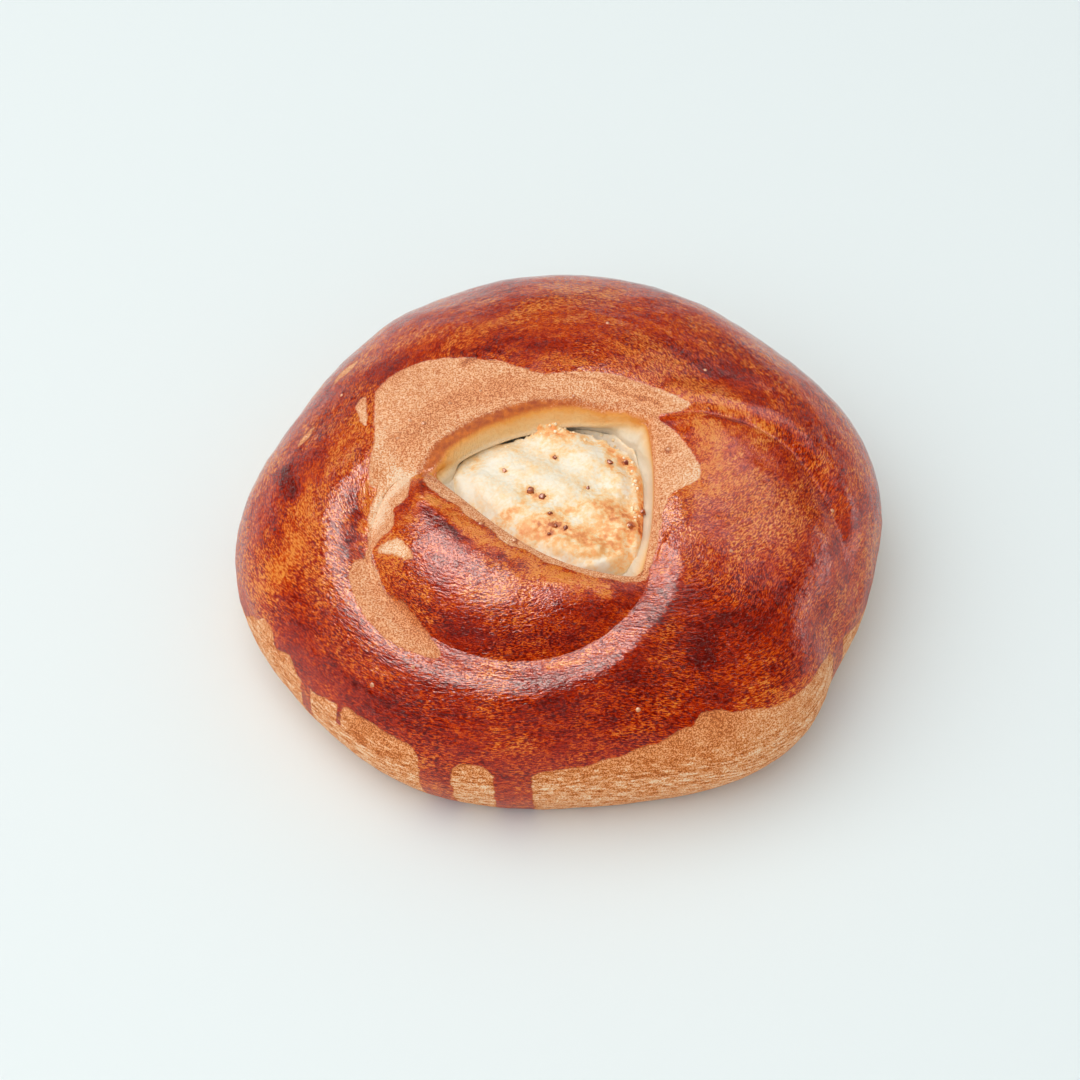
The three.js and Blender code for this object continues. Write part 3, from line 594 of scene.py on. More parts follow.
def skin(name, first, rings, last):
    """A closed mesh over rings that run from a first pole to a last one."""
    points = np.vstack([first, rings.reshape(-1, 3), last])
    count = len(rings)
    i = np.arange(ANGLES)
    j = (i + 1) % ANGLES
    starts = 1 + ANGLES * np.arange(count - 1)[:, None]
    quads = np.stack([starts + i, starts + j, starts + ANGLES + j, starts + ANGLES + i], -1).reshape(-1, 4)
    end = 1 + ANGLES * (count - 1)
    caps = np.vstack([np.column_stack([np.zeros(ANGLES, int), 1 + j, 1 + i]),
                      np.column_stack([np.full(ANGLES, len(points) - 1), end + i, end + j])])
    mesh = bpy.data.meshes.new(name)
    mesh.from_pydata((points * MM).tolist(), [], quads.tolist() + caps.tolist())
    mesh.shade_smooth()
    return new_object(name, mesh)


def store(piece, name, values):
    """Keeps a value for every point of a piece, for its material to read."""
    kind = "FLOAT" if values.ndim == 1 else "FLOAT_VECTOR"
    field = "value" if values.ndim == 1 else "vector"
    piece.data.attributes.new(name, kind, "POINT").data.foreach_set(field, values.astype(np.float32).ravel())


def pole(height):
    return np.array([[EYE[0], EYE[1], height]])


# ----------------------------------------------------------------------------------------------------
# The two skins: fine relief, and the fields that their materials read
# ----------------------------------------------------------------------------------------------------
# the streaks of the crust are drawn out round the bun as if it were this narrow
GRAIN_RADIUS = 12.0
# the heights over which the crust turns dull and wrinkled towards the base, and the distances from the valley
# over which the roll's gloss dulls and the wrinkles of the glaze begin
LOW_BAND, DULL_REACH, WRINKLED_REACH = (24.0, 14.0), (1, 6), (14, 8)
# depths that stand for well under the wash, for the bare underside, and for far outside the fold
WELL_WASHED, UNDERSIDE_BARE, FAR_OUTSIDE = -9.0, 3.0, -30
# how far the outlines of marks wander: (size, reach), and two layers of the noise that moves them
BAKE_AND_LIGHT_WANDER, TOASTED_WANDER = (3.5, 1.2), (1.6, 0.8)
NOISE_LEVEL, NOISE_APART = 50.0, 90
# a mark has faded out at this many times its reach
MARK_ENDS = 3
# fine relief of the skins: (height, size, octaves, shift)
CRUST_RELIEF = [(0.16, 7.0, 3, 0), (0.05, 2.4, 2, 40)]
CURD_RELIEF = [(0.09, 5.0, 3, 0), (0.06, 1.6, 3, 20)]
# grains of curd, large and small: their size, how far they stand out and how wide they are, and how much
# further the large ones stand out along the front
LARGE_GRAIN, LARGE_GRAIN_HEIGHT, LARGE_GRAIN_EDGE = 2.6, 0.12, 0.45
SMALL_GRAIN, SMALL_GRAIN_HEIGHT, SMALL_GRAIN_EDGE = 1.1, 0.1, 0.4
FRONT_GRAIN_HEIGHT, FRONT_GRAIN_AT, FRONT_GRAIN_REACH = 0.34, -24, 5
# the step down from the curd's top to its thin skin, and how far and how finely its line wanders
SKIN_EDGE, SKIN_EDGE_WANDER, SKIN_EDGE_SIZE = (-0.2, 0.4), 0.5, 1.4
# the relief fades out this close to the skin's middle
POLE_CALM = 1.5
# the toasted halo of a scorched bead
HALO_LENGTH, HALO_REACH, HALO_TOAST = 0.2, 2.4, 0.34
# loose grains lie this many rings from the brim, and thin out to the front left over this band of x + y
LOOSE_RINGS, LOOSE_BAND = 6.0, (-14, 2)


def noise_at(points, size, octaves=3):
    return np.array([noise.fractal(Vector(p) / size, 1.0, 2.0, octaves) for p in points])


def outward(points, rings):
    """Normals of a ring skin, from its neighbours along and across the rings."""
    grid = points.reshape(rings, ANGLES, 3)
    across = np.gradient(grid, axis=0)
    along = np.roll(grid, -1, axis=1) - np.roll(grid, 1, axis=1)
    normal = np.cross(along, across).reshape(-1, 3)
    return normal / np.maximum(np.linalg.norm(normal, axis=1, keepdims=True), 1e-9)


def fine_relief(points, table):
    """The sum of a table's layers of soft noise."""
    return sum(height * noise_at(points + shift, size, octaves) for height, size, octaves, shift in table)


def wander(plan, size, reach):
    """The plan moved about by up to roughly this reach, so that a mark's outline isn't a drawn one."""
    far = np.column_stack([plan, np.full(len(plan), NOISE_LEVEL)])
    return plan + reach * np.column_stack([noise_at(far, size), noise_at(far + NOISE_APART, size)])


def bare_depth(points, on_crown):
    """How far each point is inside a patch that the egg wash missed, below 0 under the wash."""
    plan = points[:, :2]
    depth = np.full(len(points), WELL_WASHED)
    for loop in BARE_PATCHES.values():
        depth[on_crown] = np.maximum(depth[on_crown], patch_depth(loop, plan[on_crown]))
    away = plan - np.array(MIDDLE)
    angle = np.arctan2(away[:, 1], away[:, 0])
    below = around(WASH_EDGE, angle) - points[:, 2]
    for degrees, half_width, end in WASH_RUNS:
        turn = (np.degrees(angle) - degrees + 180) % 360 - 180
        beside = np.abs(np.radians(turn)) * np.hypot(*away.T)
        past_end = np.maximum(end + half_width - points[:, 2], 0)
        below = np.minimum(below, np.hypot(beside, past_end) - half_width)
    return np.where(on_crown | (points[:, 2] > 0.01), np.maximum(depth, below), UNDERSIDE_BARE)


def marks(plan, table):
    """The sum of soft marks, each along a line in plan."""
    total = np.zeros(len(plan))
    for points, reach, amount in table:
        line = np.array(points, float)
        low, high = line.min(axis=0) - MARK_ENDS * reach, line.max(axis=0) + MARK_ENDS * reach
        near = np.all((plan > low) & (plan < high), axis=1)
        total[near] += amount * bell(nearest(line, plan[near])[0] / reach)
    return total


def run_length(rings):
    """Length along the skin from the base to each ring, at every angle."""
    steps = np.linalg.norm(np.diff(rings, axis=0), axis=2)
    return np.vstack([np.zeros(ANGLES), np.cumsum(steps, axis=0)])


def with_poles(values):
    return np.concatenate([values[:1], values, values[-1:]])


def make_bun():
    """The crust's skin with all its fields, and the ring at the foot of the hollow's wall."""
    rings, lip_number, foot = bun_rings()
    count = len(rings)
    points = rings.reshape(-1, 3)
    number = np.repeat(np.arange(count), ANGLES)
    on_crown = (number >= BASE_RINGS + SIDE_RINGS) & (number <= lip_number)
    rim = nearest(RIM, points[:, :2])[0]
    on_side = ~on_crown & (number > BASE_RINGS) & (number < lip_number)
    fine = np.where(on_crown, smoothstep(0, 2, rim), on_side)
    normal = outward(points, count)
    points = points + normal * (fine_relief(points, CRUST_RELIEF) * fine)[:, None]

    grid = points.reshape(count, ANGLES, 3)
    piece = skin("bun_crust", pole(0.0), grid, pole(HOLLOW_FLOOR))
    run = run_length(grid)
    turn = np.tile(ANGLE, count)
    grain = np.column_stack([GRAIN_RADIUS * np.cos(turn), GRAIN_RADIUS * np.sin(turn), run.ravel()])
    plan = points[:, :2]
    valley = nearest(VALLEY, plan)[0]
    crest = around(CREST, turn) * bell((rim - around(CREST_DISTANCE, turn)) / CREST_REACH)
    into_hollow = np.maximum(run - run[lip_number], 0.01).ravel()
    before_lip = np.where(on_crown, -rim, FAR_OUTSIDE)
    inside = np.where(number > lip_number, into_hollow, before_lip) + around(CRUMB_BEGINS, turn)
    fields = {
        "bare": bare_depth(points, on_crown | (number > lip_number)),
        # the crust's baking, with a few marks of painted light and painted shade
        "bake_and_painted_light": np.where(on_crown, marks(wander(plan, *BAKE_AND_LIGHT_WANDER), BAKE_AND_LIGHT_MARKS), 0),
        "low": smoothstep(*LOW_BAND, points[:, 2]),
        "dull": on_crown * is_inside(ROLL, plan) * smoothstep(*DULL_REACH, valley),
        "wrinkled": on_crown * smoothstep(*WRINKLED_REACH, valley),
        "crest": np.where(number > lip_number, 0, crest * on_crown),
        "inside": inside,
        "grain": grain * MM,
    }
    for name, values in fields.items():
        store(piece, name, with_poles(values))
    return piece, foot


def make_curd(foot):
    """The filling's skin: soft lumps and grains, tips that rose, and the thin skin of curd beyond its top."""
    rings = curd_rings(foot)
    count = len(rings)
    points = rings.reshape(-1, 3)
    number = np.repeat(np.arange(count), ANGLES)
    open_side = smoothstep(CURD_UNDER_RINGS + 2, CURD_UNDER_RINGS + CURD_BRIM_RINGS, number)
    plan = points[:, :2]
    large, small = [np.array([noise.voronoi(Vector(p) / size)[0][0] for p in points])
                    for size in (LARGE_GRAIN, SMALL_GRAIN)]
    front = FRONT_GRAIN_HEIGHT * bell((plan[:, 1] - FRONT_GRAIN_AT) / FRONT_GRAIN_REACH)
    grains = (LARGE_GRAIN_HEIGHT + front) * (LARGE_GRAIN_EDGE - large)
    lumps = fine_relief(points, CURD_RELIEF) + (grains + SMALL_GRAIN_HEIGHT * (SMALL_GRAIN_EDGE - small))
    normal = outward(points, count)
    middle = np.minimum(1, eye_reach(points) / POLE_CALM)
    points = points + normal * (lumps * open_side * middle)[:, None]
    rises = sum(height * bell(np.hypot(*(plan - np.array(at)).T) / reach) for at, reach, height in CURD_RISES)
    points[:, 2] += rises * open_side
    beyond = -patch_depth(CURD_TOP_EDGE, plan)
    uneven = beyond + SKIN_EDGE_WANDER * noise_at(points, SKIN_EDGE_SIZE)
    skin_share = open_side * smoothstep(*SKIN_EDGE, uneven)
    points[:, 2] -= (CURD_SKIN_DROP - CURD_SKIN_FOLDS * noise_at(points, 2.0)) * skin_share
    top = points[-ANGLES:].mean(axis=0)[None]
    piece = skin("curd_mass", pole(HOLLOW_FLOOR), points.reshape(count, ANGLES, 3), top)
    brim = number - CURD_UNDER_RINGS - CURD_BRIM_RINGS
    halos = [([(x, y), (x + HALO_LENGTH, y)], HALO_REACH * size, HALO_TOAST) for x, y, size in SCORCHED_BEADS]
    fields = {
        "toast": marks(wander(plan, *TOASTED_WANDER), TOASTED) + marks(plan, halos),
        "lump": lumps,
        "skin": skin_share,
        "loose": open_side * bell(brim / LOOSE_RINGS) * smoothstep(*LOOSE_BAND, plan[:, 0] + plan[:, 1]),
    }
    for name, values in fields.items():
        store(piece, name, with_poles(values))
    return piece


# ----------------------------------------------------------------------------------------------------
# Small grains: scorched beads, loose crumbs of curd and blisters of the crust
# ----------------------------------------------------------------------------------------------------
SMALLEST_GRAIN, LARGEST_GRAIN, WOBBLE_SIZE = 0.5, 1.3, 0.5
HIGH_ABOVE = 80


def grain_tree(name, scattered):
    """A node tree that sets small uneven grains on points, or scatters them by a skin's 'loose' field."""
    tree = bpy.data.node_groups.new(name, "GeometryNodeTree")
    tree.interface.new_socket("Geometry", in_out="INPUT", socket_type="NodeSocketGeometry")
    tree.interface.new_socket("Geometry", in_out="OUTPUT", socket_type="NodeSocketGeometry")
    for label, kind in (("Grain radius", "NodeSocketFloat"), ("Unevenness", "NodeSocketFloat"),
                        ("Grains per square metre", "NodeSocketFloat"), ("Seed", "NodeSocketInt"),
                        ("Material", "NodeSocketMaterial")):
        tree.interface.new_socket(label, in_out="INPUT", socket_type=kind)
    given = tree.nodes.new("NodeGroupInput").outputs
    points = given["Geometry"]
    if scattered:
        loose = add(tree, "GeometryNodeInputNamedAttribute", {"Name": "loose"}, data_type="FLOAT")
        density = add(tree, "ShaderNodeMath", {0: loose, 1: given["Grains per square metre"]},
                      operation="MULTIPLY")
        points = add(tree, "GeometryNodeDistributePointsOnFaces", {"Mesh": points, "Density": density,
                                                                   "Seed": given["Seed"]}, out="Points")
        size = add(tree, "FunctionNodeRandomValue", {2: SMALLEST_GRAIN, 3: LARGEST_GRAIN,
                                                     "Seed": given["Seed"]}, out=1, data_type="FLOAT")
    else:
        size = add(tree, "GeometryNodeInputNamedAttribute", {"Name": "size"}, data_type="FLOAT")
    ball = add(tree, "GeometryNodeMeshIcoSphere", {"Radius": given["Grain radius"], "Subdivisions": 2},
               out="Mesh")
    turn = add(tree, "FunctionNodeRandomValue", {0: (0, 0, 0), 1: (math.tau, math.tau, math.tau),
                                                 "Seed": given["Seed"]}, data_type="FLOAT_VECTOR")
    grains = add(tree, "GeometryNodeInstanceOnPoints", {"Points": points, "Instance": ball, "Rotation": turn,
                                                        "Scale": size})
    grains = add(tree, "GeometryNodeRealizeInstances", {0: grains})
    wobble = add(tree, "ShaderNodeTexNoise", {"Scale": per_mm(WOBBLE_SIZE)}, out="Color")
    centred = add(tree, "ShaderNodeVectorMath", {0: wobble, 1: (0.5, 0.5, 0.5)}, operation="SUBTRACT")
    shift = add(tree, "ShaderNodeVectorMath", {0: centred, "Scale": given["Unevenness"]}, operation="SCALE")
    grains = add(tree, "GeometryNodeSetPosition", {"Geometry": grains, "Offset": shift})
    grains = add(tree, "GeometryNodeSetShadeSmooth", {"Geometry": grains})
    grains = add(tree, "GeometryNodeSetMaterial", {"Geometry": grains, "Material": given["Material"]})
    add(tree, "NodeGroupOutput", {"Geometry": grains})
    return tree


def make_grains(name, source, tree, inputs):
    """Runs a grain tree on a mesh and keeps the result as a plain piece."""
    carrier = new_object(name + "_carrier", source)
    modifier = carrier.modifiers.new("grains", "NODES")
    modifier.node_group = tree
    sockets = {item.name: item.identifier for item in tree.interface.items_tree if item.in_out == "INPUT"}
    for label, value in inputs.items():
        modifier[sockets[label]] = value
    made = bpy.data.meshes.new_from_object(carrier.evaluated_get(bpy.context.evaluated_depsgraph_get()))
    made.name = name
    bpy.data.objects.remove(carrier)
    return new_object(name, made)


def points_on(piece, places, sink):
    """Points on a piece's top at plan places (x, y, size in mm), sunk by a share of their size."""
    found = []
    for x, y, size in places:
        hit, place, normal, _ = piece.ray_cast(Vector((x, y, HIGH_ABOVE)) * MM, Vector((0, 0, -1)))
        if hit:
            found.append((place - normal * size * sink * MM, size))
    mesh = bpy.data.meshes.new(piece.name + "_points")
    mesh.from_pydata([tuple(place) for place, _ in found], [], [])
    sizes = mesh.attributes.new("size", "FLOAT", "POINT")
    sizes.data.foreach_set("value", [size for _, size in found])
    return mesh


# ----------------------------------------------------------------------------------------------------
# Materials
# ----------------------------------------------------------------------------------------------------
def linear(code):
    """A '#rrggbb' sRGB colour as linear RGBA."""
    values = [int(code[i:i + 2], 16) / 255 for i in (1, 3, 5)]
    return [v / 12.92 if v <= 0.04045 else ((v + 0.055) / 1.055)**2.4 for v in values] + [1.0]


def add(tree, kind, inputs=(), out=0, stops=(), **settings):
    """Adds a node with its settings, its inputs as values or links, and a ramp's stops. Gives one output."""
    made = tree.nodes.new(kind)
    for name, value in settings.items():
        setattr(made, name, value)
    for name, value in dict(inputs).items():
        if isinstance(value, bpy.types.NodeSocket):
            tree.links.new(value, made.inputs[name])
        else:
            made.inputs[name].default_value = value
    for i, (at, code) in enumerate(stops):
        stop = made.color_ramp.elements[i] if i < 2 else made.color_ramp.elements.new(at)
        stop.position = at
        stop.color = linear(code)
    return made.outputs[out] if made.outputs else None


def new_material(name):
    material = bpy.data.materials.new(name)
    material.use_nodes = True
    material.node_tree.nodes.clear()
    return material, material.node_tree


def per_mm(size):
    """Noise scale for a grain of this size in millimetres, on coordinates in metres."""
    return 1 / (size * MM)


def baked_crust():
    """Sweet dough baked to a brown crust. Egg wash gives a hard red-brown gloss with streaks and pits. What
    it missed stays matt and tan, the lips brown in a line, and the inside of the fold stays pale."""
    material, tree = new_material("egg_washed_crust")
    place = add(tree, "ShaderNodeTexCoord", out="Object")
    bare, bake_and_painted_light, crest, inside, low, dull, wrinkled = [
        add(tree, "ShaderNodeAttribute", out="Fac", attribute_name=name)
        for name in ("bare", "bake_and_painted_light", "crest", "inside", "low", "dull", "wrinkled")]
    grain = add(tree, "ShaderNodeAttribute", out="Vector", attribute_name="grain")
    # clouds, mottling and sandy specks all over, and streaks, wrinkles and dashes drawn out round the bun, by
    # their size in millimetres and their detail
    cloud, mottle, sand, streak, hair, fine = [
        add(tree, "ShaderNodeTexNoise", {"Vector": vector, "Scale": per_mm(size), "Detail": detail,
                                         "Roughness": 0.6})
        for vector, size, detail in ((place, 15, 3), (place, 1.1, 3), (place, 0.27, 1), (grain, 2.6, 4),
                                     (grain, 0.6, 2), (grain, 0.21, 1))]
    pits = add(tree, "ShaderNodeMapRange", {"Value": sand, "From Min": 0.56, "From Max": 0.66},
               interpolation_type="SMOOTHSTEP")
    apart = add(tree, "ShaderNodeTexVoronoi", {"Vector": place, "Scale": per_mm(2.3)}, out="Distance")
    bubbles = add(tree, "ShaderNodeMapRange", {"Value": apart, "From Min": 0.1, "From Max": 0.03},
                  interpolation_type="SMOOTHSTEP")

    # round specks, and dashes along the ring that are stronger in some areas than in others
    speck, dash = [add(tree, "ShaderNodeMapRange", {"Value": field, "From Min": 0.38, "From Max": 0.62,
                                                    "To Min": -1.0}, interpolation_type="SMOOTHSTEP")
                   for field in (sand, fine)]
    strength = add(tree, "ShaderNodeMapRange", {"Value": cloud, "From Min": 0.4, "From Max": 0.6,
                                                "To Min": 0.36, "To Max": 0.16})

    # washed crust, from golden through orange and red-brown to nearly black
    # the marks add how the crust baked, and in a few places painted light and painted shade
    depth = -0.86
    for field, amount in ((bake_and_painted_light, 1.0), (low, 0.06), (cloud, 0.7), (streak, 1.0), (mottle, 0.8),
                          (dash, strength), (pits, 0.3)):
        depth = add(tree, "ShaderNodeMath", {0: field, 1: amount, 2: depth}, operation="MULTIPLY_ADD")
    washed = add(tree, "ShaderNodeValToRGB", {"Fac": depth},
                 stops=[(0.0, "#EC8E36"), (1.0, "#5A0701"), (0.2, "#DC5A0E"), (0.42, "#C43402"),
                        (0.66, "#981600")])
    # unwashed crust, from peach through tan to brown, wrinkled near the base
    shade = 0.05
    for field, amount in ((bake_and_painted_light, 1.0), (cloud, 0.2), (mottle, 0.4), (speck, 0.25), (hair, 0.2)):
        shade = add(tree, "ShaderNodeMath", {0: field, 1: amount, 2: shade}, operation="MULTIPLY_ADD")
    wrinkle = add(tree, "ShaderNodeMath", {0: hair, 1: 1.8, 2: -0.95}, operation="MULTIPLY_ADD")
    shade = add(tree, "ShaderNodeMath", {0: wrinkle, 1: low, 2: shade}, operation="MULTIPLY_ADD")
    tan = add(tree, "ShaderNodeValToRGB", {"Fac": shade},
              stops=[(0.0, "#FCDAB6"), (1.0, "#A44A10"), (0.3, "#F4B07A"), (0.5, "#E7914F"),
                     (0.72, "#D06C2A")])
    missed = 0.0
    for field, amount in ((bare, 1.0), (streak, 1.4), (mottle, 1.0), (sand, 0.8)):
        missed = add(tree, "ShaderNodeMath", {0: field, 1: amount, 2: missed}, operation="MULTIPLY_ADD")
    unwashed = add(tree, "ShaderNodeMapRange", {"Value": missed, "From Min": 1.5, "From Max": 1.8},
                   interpolation_type="SMOOTHSTEP")
    colour = add(tree, "ShaderNodeMix", {0: unwashed, 6: washed, 7: tan}, out=2, data_type="RGBA")

    # the lip's browned crest, the golden line under it and the fold's pale crumb, toned down as painted shade
    browned = crest
    for field, amount in ((mottle, 0.7), (sand, 0.7)):
        browned = add(tree, "ShaderNodeMath", {0: field, 1: amount, 2: browned}, operation="MULTIPLY_ADD")
    browned = add(tree, "ShaderNodeMapRange", {"Value": browned, "From Min": 0.9, "From Max": 1.8},
                  interpolation_type="SMOOTHSTEP")
    brown = add(tree, "ShaderNodeValToRGB", {"Fac": mottle}, stops=[(0.3, "#DA6E08"), (0.7, "#A84000")])
    colour = add(tree, "ShaderNodeMix", {0: browned, 6: colour, 7: brown}, out=2, data_type="RGBA")
    deep = -2.1
    for field, amount in ((inside, 1.0), (mottle, 1.0), (cloud, 1.4)):
        deep = add(tree, "ShaderNodeMath", {0: field, 1: amount, 2: deep}, operation="MULTIPLY_ADD")
    depth_share = add(tree, "ShaderNodeMath", {0: deep, 1: 0.15}, operation="MULTIPLY")
    pale = add(tree, "ShaderNodeValToRGB", {"Fac": depth_share},
               stops=[(0.0, "#DA741C"), (1.0, "#E8DFD0"), (0.1, "#E8983A"), (0.26, "#F0C080"),
                      (0.5, "#EAD6B6")])
    in_fold = add(tree, "ShaderNodeMapRange", {"Value": deep, "From Min": -0.3, "From Max": 0.6},
                  interpolation_type="SMOOTHSTEP")
    colour = add(tree, "ShaderNodeMix", {0: in_fold, 6: colour, 7: pale}, out=2, data_type="RGBA")

    # hard gloss, broken by wrinkles round the roll, pits and small bubbles; matt where the wash is missing
    matt = add(tree, "ShaderNodeMath", {0: unwashed, 1: in_fold}, operation="MAXIMUM")
    roughness = 0.08
    for field, amount in ((matt, 0.74), (browned, 0.14), (low, 0.3), (dull, 0.04)):
        roughness = add(tree, "ShaderNodeMath", {0: field, 1: amount, 2: roughness}, operation="MULTIPLY_ADD")
    swell, grit = 0.0, 0.0
    ridges = add(tree, "ShaderNodeMapRange", {"Value": wrinkled, "To Min": 1.0, "To Max": 3.8})
    for field, amount in ((streak, 1.0), (mottle, 0.5), (hair, ridges), (matt, -0.5)):
        swell = add(tree, "ShaderNodeMath", {0: field, 1: amount, 2: swell}, operation="MULTIPLY_ADD")
    for field, amount in ((pits, -1.2), (bubbles, 1.0), (fine, 0.9)):
        grit = add(tree, "ShaderNodeMath", {0: field, 1: amount, 2: grit}, operation="MULTIPLY_ADD")
    skin_bump = add(tree, "ShaderNodeBump", {"Height": swell, "Distance": 0.08 * MM})
    skin_bump = add(tree, "ShaderNodeBump", {"Height": grit, "Distance": 0.045 * MM, "Normal": skin_bump})
    shader = add(tree, "ShaderNodeBsdfPrincipled", {"Base Color": colour, "Roughness": roughness, "IOR": 1.37,
                                                    "Normal": skin_bump})
    add(tree, "ShaderNodeOutputMaterial", {"Surface": shader})
    return material


def baked_curd():
    """Cottage cheese baked in the open: creamy, matt and finely grained, and golden to brown where it stands
    up."""
    material, tree = new_material("baked_curd")
    place = add(tree, "ShaderNodeTexCoord", out="Object")
    toast, lump, skin_share = [add(tree, "ShaderNodeAttribute", out="Fac", attribute_name=name)
                               for name in ("toast", "lump", "skin")]
    # toasted patches, mottling and fine grain, by their size in millimetres
    patch, mottle, fine = [
        add(tree, "ShaderNodeTexNoise", {"Vector": place, "Scale": per_mm(size), "Detail": 3,
                                         "Roughness": 0.6})
        for size in (4, 1.2, 0.5)]
    grains = add(tree, "ShaderNodeTexVoronoi", {"Vector": place, "Scale": per_mm(0.9), "Smoothness": 0.5},
                 out="Distance", feature="SMOOTH_F1")
    blotch = add(tree, "ShaderNodeMapRange", {"Value": mottle, "From Min": 0.36, "From Max": 0.62,
                                              "To Min": 0.5, "To Max": 1.4}, interpolation_type="SMOOTHSTEP")
    toasted = add(tree, "ShaderNodeMath", {0: toast, 1: blotch}, operation="MULTIPLY")
    depth = -0.3
    for field, amount in ((toasted, 1.0), (patch, 0.5), (mottle, 0.2), (fine, 0.25), (lump, 0.2)):
        depth = add(tree, "ShaderNodeMath", {0: field, 1: amount, 2: depth}, operation="MULTIPLY_ADD")
    colour = add(tree, "ShaderNodeValToRGB", {"Fac": depth},
                 stops=[(0.0, "#F2EAD9"), (1.0, "#BE5A16"), (0.16, "#F4E5CA"), (0.3, "#F8D49E"),
                        (0.46, "#F8B86E"), (0.68, "#F0964A")])
    colour = add(tree, "ShaderNodeMix", {0: skin_share, 6: colour, 7: linear("#E2D6C4")}, out=2,
                 data_type="RGBA")
    bump = add(tree, "ShaderNodeBump", {"Height": grains, "Distance": -0.09 * MM})
    bump = add(tree, "ShaderNodeBump", {"Height": fine, "Distance": 0.07 * MM, "Normal": bump})
    shader = add(tree, "ShaderNodeBsdfPrincipled", {"Base Color": colour, "Roughness": 0.68, "IOR": 1.38,
                                                    "Normal": bump})
    add(tree, "ShaderNodeOutputMaterial", {"Surface": shader})
    return material


def grain_material(name, light, dark, roughness):
    """One kind of small grain, each a little lighter or darker over its width."""
    material, tree = new_material(name)
    place = add(tree, "ShaderNodeTexCoord", out="Object")
    patchy = add(tree, "ShaderNodeTexNoise", {"Vector": place, "Scale": per_mm(0.9), "Detail": 2})
    colour = add(tree, "ShaderNodeValToRGB", {"Fac": patchy}, stops=[(0.35, light), (0.65, dark)])
    shader = add(tree, "ShaderNodeBsdfPrincipled", {"Base Color": colour, "Roughness": roughness, "IOR": 1.5})
    add(tree, "ShaderNodeOutputMaterial", {"Surface": shader})
    return material


def pale_table():
    """A matt, faintly cool white table top."""
    material, tree = new_material("pale_table")
    shader = add(tree, "ShaderNodeBsdfPrincipled", {"Base Color": linear("#E4ECEC"), "Roughness": 0.8})
    add(tree, "ShaderNodeOutputMaterial", {"Surface": shader})
    return material


# ----------------------------------------------------------------------------------------------------
# Stage: table, light and camera
# ----------------------------------------------------------------------------------------------------
CAMERA_DISTANCE = 0.7
CAMERA_ELEVATION = math.radians(50)
CAMERA_AIM = Vector((-3.65, -4.51, 17.54)) * MM
CAMERA_LENS, SENSOR_WIDTH, NEAREST_SEEN = 125.5, 36, 0.01
TABLE_WIDTH = 6
LIGHT_AIM = Vector((0, 0, 0.02))
ROOM_COLOUR, ROOM_STRENGTH = (0.96, 1.0, 1.01, 1), 0.56
WARM_WHITE = (1.0, 0.97, 0.9)


def make_camera():
    away = Vector((0, -math.cos(CAMERA_ELEVATION), math.sin(CAMERA_ELEVATION)))
    camera = new_object("camera", bpy.data.cameras.new("camera"))
    camera.location = CAMERA_AIM + away * CAMERA_DISTANCE
    camera.rotation_euler = away.to_track_quat("Z", "Y").to_euler()
    camera.data.lens = CAMERA_LENS
    camera.data.sensor_width = SENSOR_WIDTH
    camera.data.clip_start = NEAREST_SEEN
    bpy.context.scene.camera = camera


def make_table(material):
    bpy.ops.mesh.primitive_plane_add(size=TABLE_WIDTH)
    table = bpy.context.object
    table.name = "table"
    table.data.materials.append(material)


def soft_box(name, azimuth, elevation, distance, size, radiance, seen_by, tint=(1, 1, 1)):
    """A round soft box that faces the bun: azimuth 0 is behind it and 90 to its right, and radiance 1 is that
    of a white sheet. It lights the surfaces or is seen in the gloss."""
    a, e = math.radians(azimuth), math.radians(elevation)
    away = Vector((math.sin(a) * math.cos(e), math.cos(a) * math.cos(e), math.sin(e)))
    light = bpy.data.lights.new(name, "AREA")
    light.shape = "ELLIPSE"
    light.size, light.size_y = size
    light.color = tint
    light.energy = radiance * math.pi * size[0] * size[1] * math.pi / 4
    box = new_object(name, light)
    box.location = away * distance + LIGHT_AIM
    box.rotation_euler = away.to_track_quat("Z", "Y").to_euler()
    box.visible_glossy = seen_by == "gloss"
    box.visible_diffuse = seen_by == "surface"


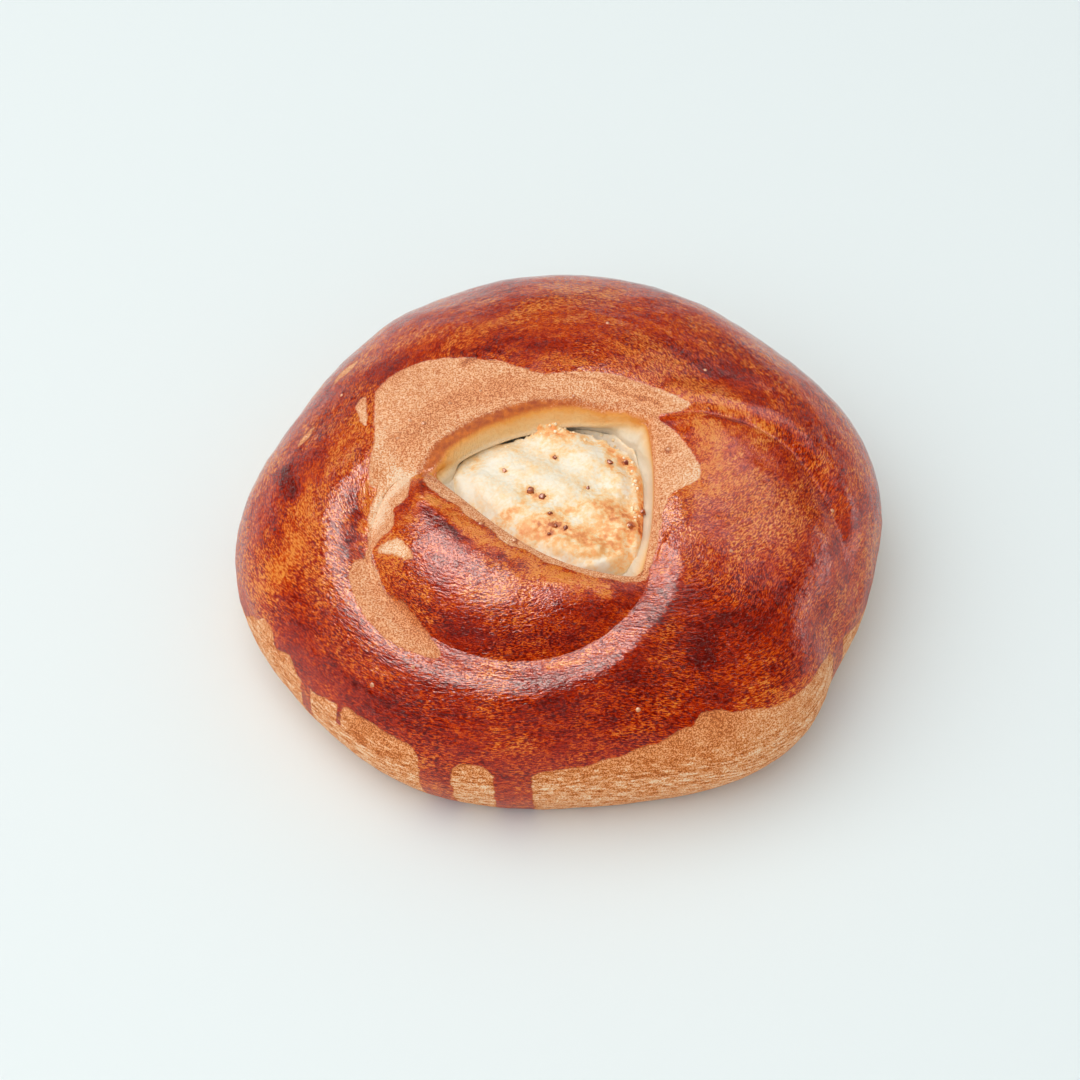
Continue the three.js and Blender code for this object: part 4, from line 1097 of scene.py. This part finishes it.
def make_light():
    world = bpy.data.worlds.new("room")
    bpy.context.scene.world = world
    world.use_nodes = True
    world.node_tree.nodes["Background"].inputs["Color"].default_value = ROOM_COLOUR
    world.node_tree.nodes["Background"].inputs["Strength"].default_value = ROOM_STRENGTH
    world.cycles_visibility.glossy = False
    soft_box("window", -112, 58, 2.1, (3.2, 3.2), 1.13, "surface")
    soft_box("room_front", 180, 50, 1.8, (2.6, 2.6), 0.26, "surface")
    soft_box("window_glint", -69, 65, 0.8, (0.86, 0.86), 18.0, "gloss", WARM_WHITE)
    soft_box("room_glint", 38, 46, 0.8, (0.4, 0.4), 2.8, "gloss")
    soft_box("room_glow", 40, 46, 0.8, (0.75, 0.65), 1.5, "gloss")
    soft_box("right_wall", 74, 5, 0.7, (0.4, 0.14), 5.2, "gloss")
    bpy.context.scene.view_settings.view_transform = "Standard"


# ----------------------------------------------------------------------------------------------------
# Putting it together
# ----------------------------------------------------------------------------------------------------
make_camera()
bun, hollow_foot = make_bun()
bun.data.materials.append(baked_crust())
curd = make_curd(hollow_foot)
curd.data.materials.append(baked_curd())
bpy.context.view_layer.update()

on_points, over_face = grain_tree("grains_on_points", False), grain_tree("scattered_grains", True)
beads = make_grains("scorched_beads", points_on(curd, SCORCHED_BEADS, 0.0), on_points,
                    {"Grain radius": 1.1 * MM, "Unevenness": 1.2 * MM, "Seed": SEED,
                     "Material": grain_material("scorched_curd", "#C8682C", "#7A260E", 0.4)})
blisters = make_grains("crust_blisters", points_on(bun, BLISTERS, 0.45), on_points,
                       {"Grain radius": MM, "Unevenness": 0.25 * MM, "Seed": SEED + 1,
                        "Material": grain_material("blistered_crust", "#E8A878", "#C0703C", 0.35)})
crumbs = make_grains("loose_curd", curd.data, over_face,
                     {"Grain radius": 0.3 * MM, "Unevenness": 0.3 * MM, "Grains per square metre": 0.8e6,
                      "Seed": SEED + 2,
                      "Material": grain_material("dry_curd_grain", "#F8EACB", "#F2CB8C", 0.6)})
make_table(pale_table())
make_light()

for piece, node, slot in ((bun, "bun", "crust"), (curd, "curd_filling", "curd"), (beads, None, "curd"),
                          (blisters, None, "crust"), (crumbs, None, "curd")):
    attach(piece, "root")
    if node:
        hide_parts(node)
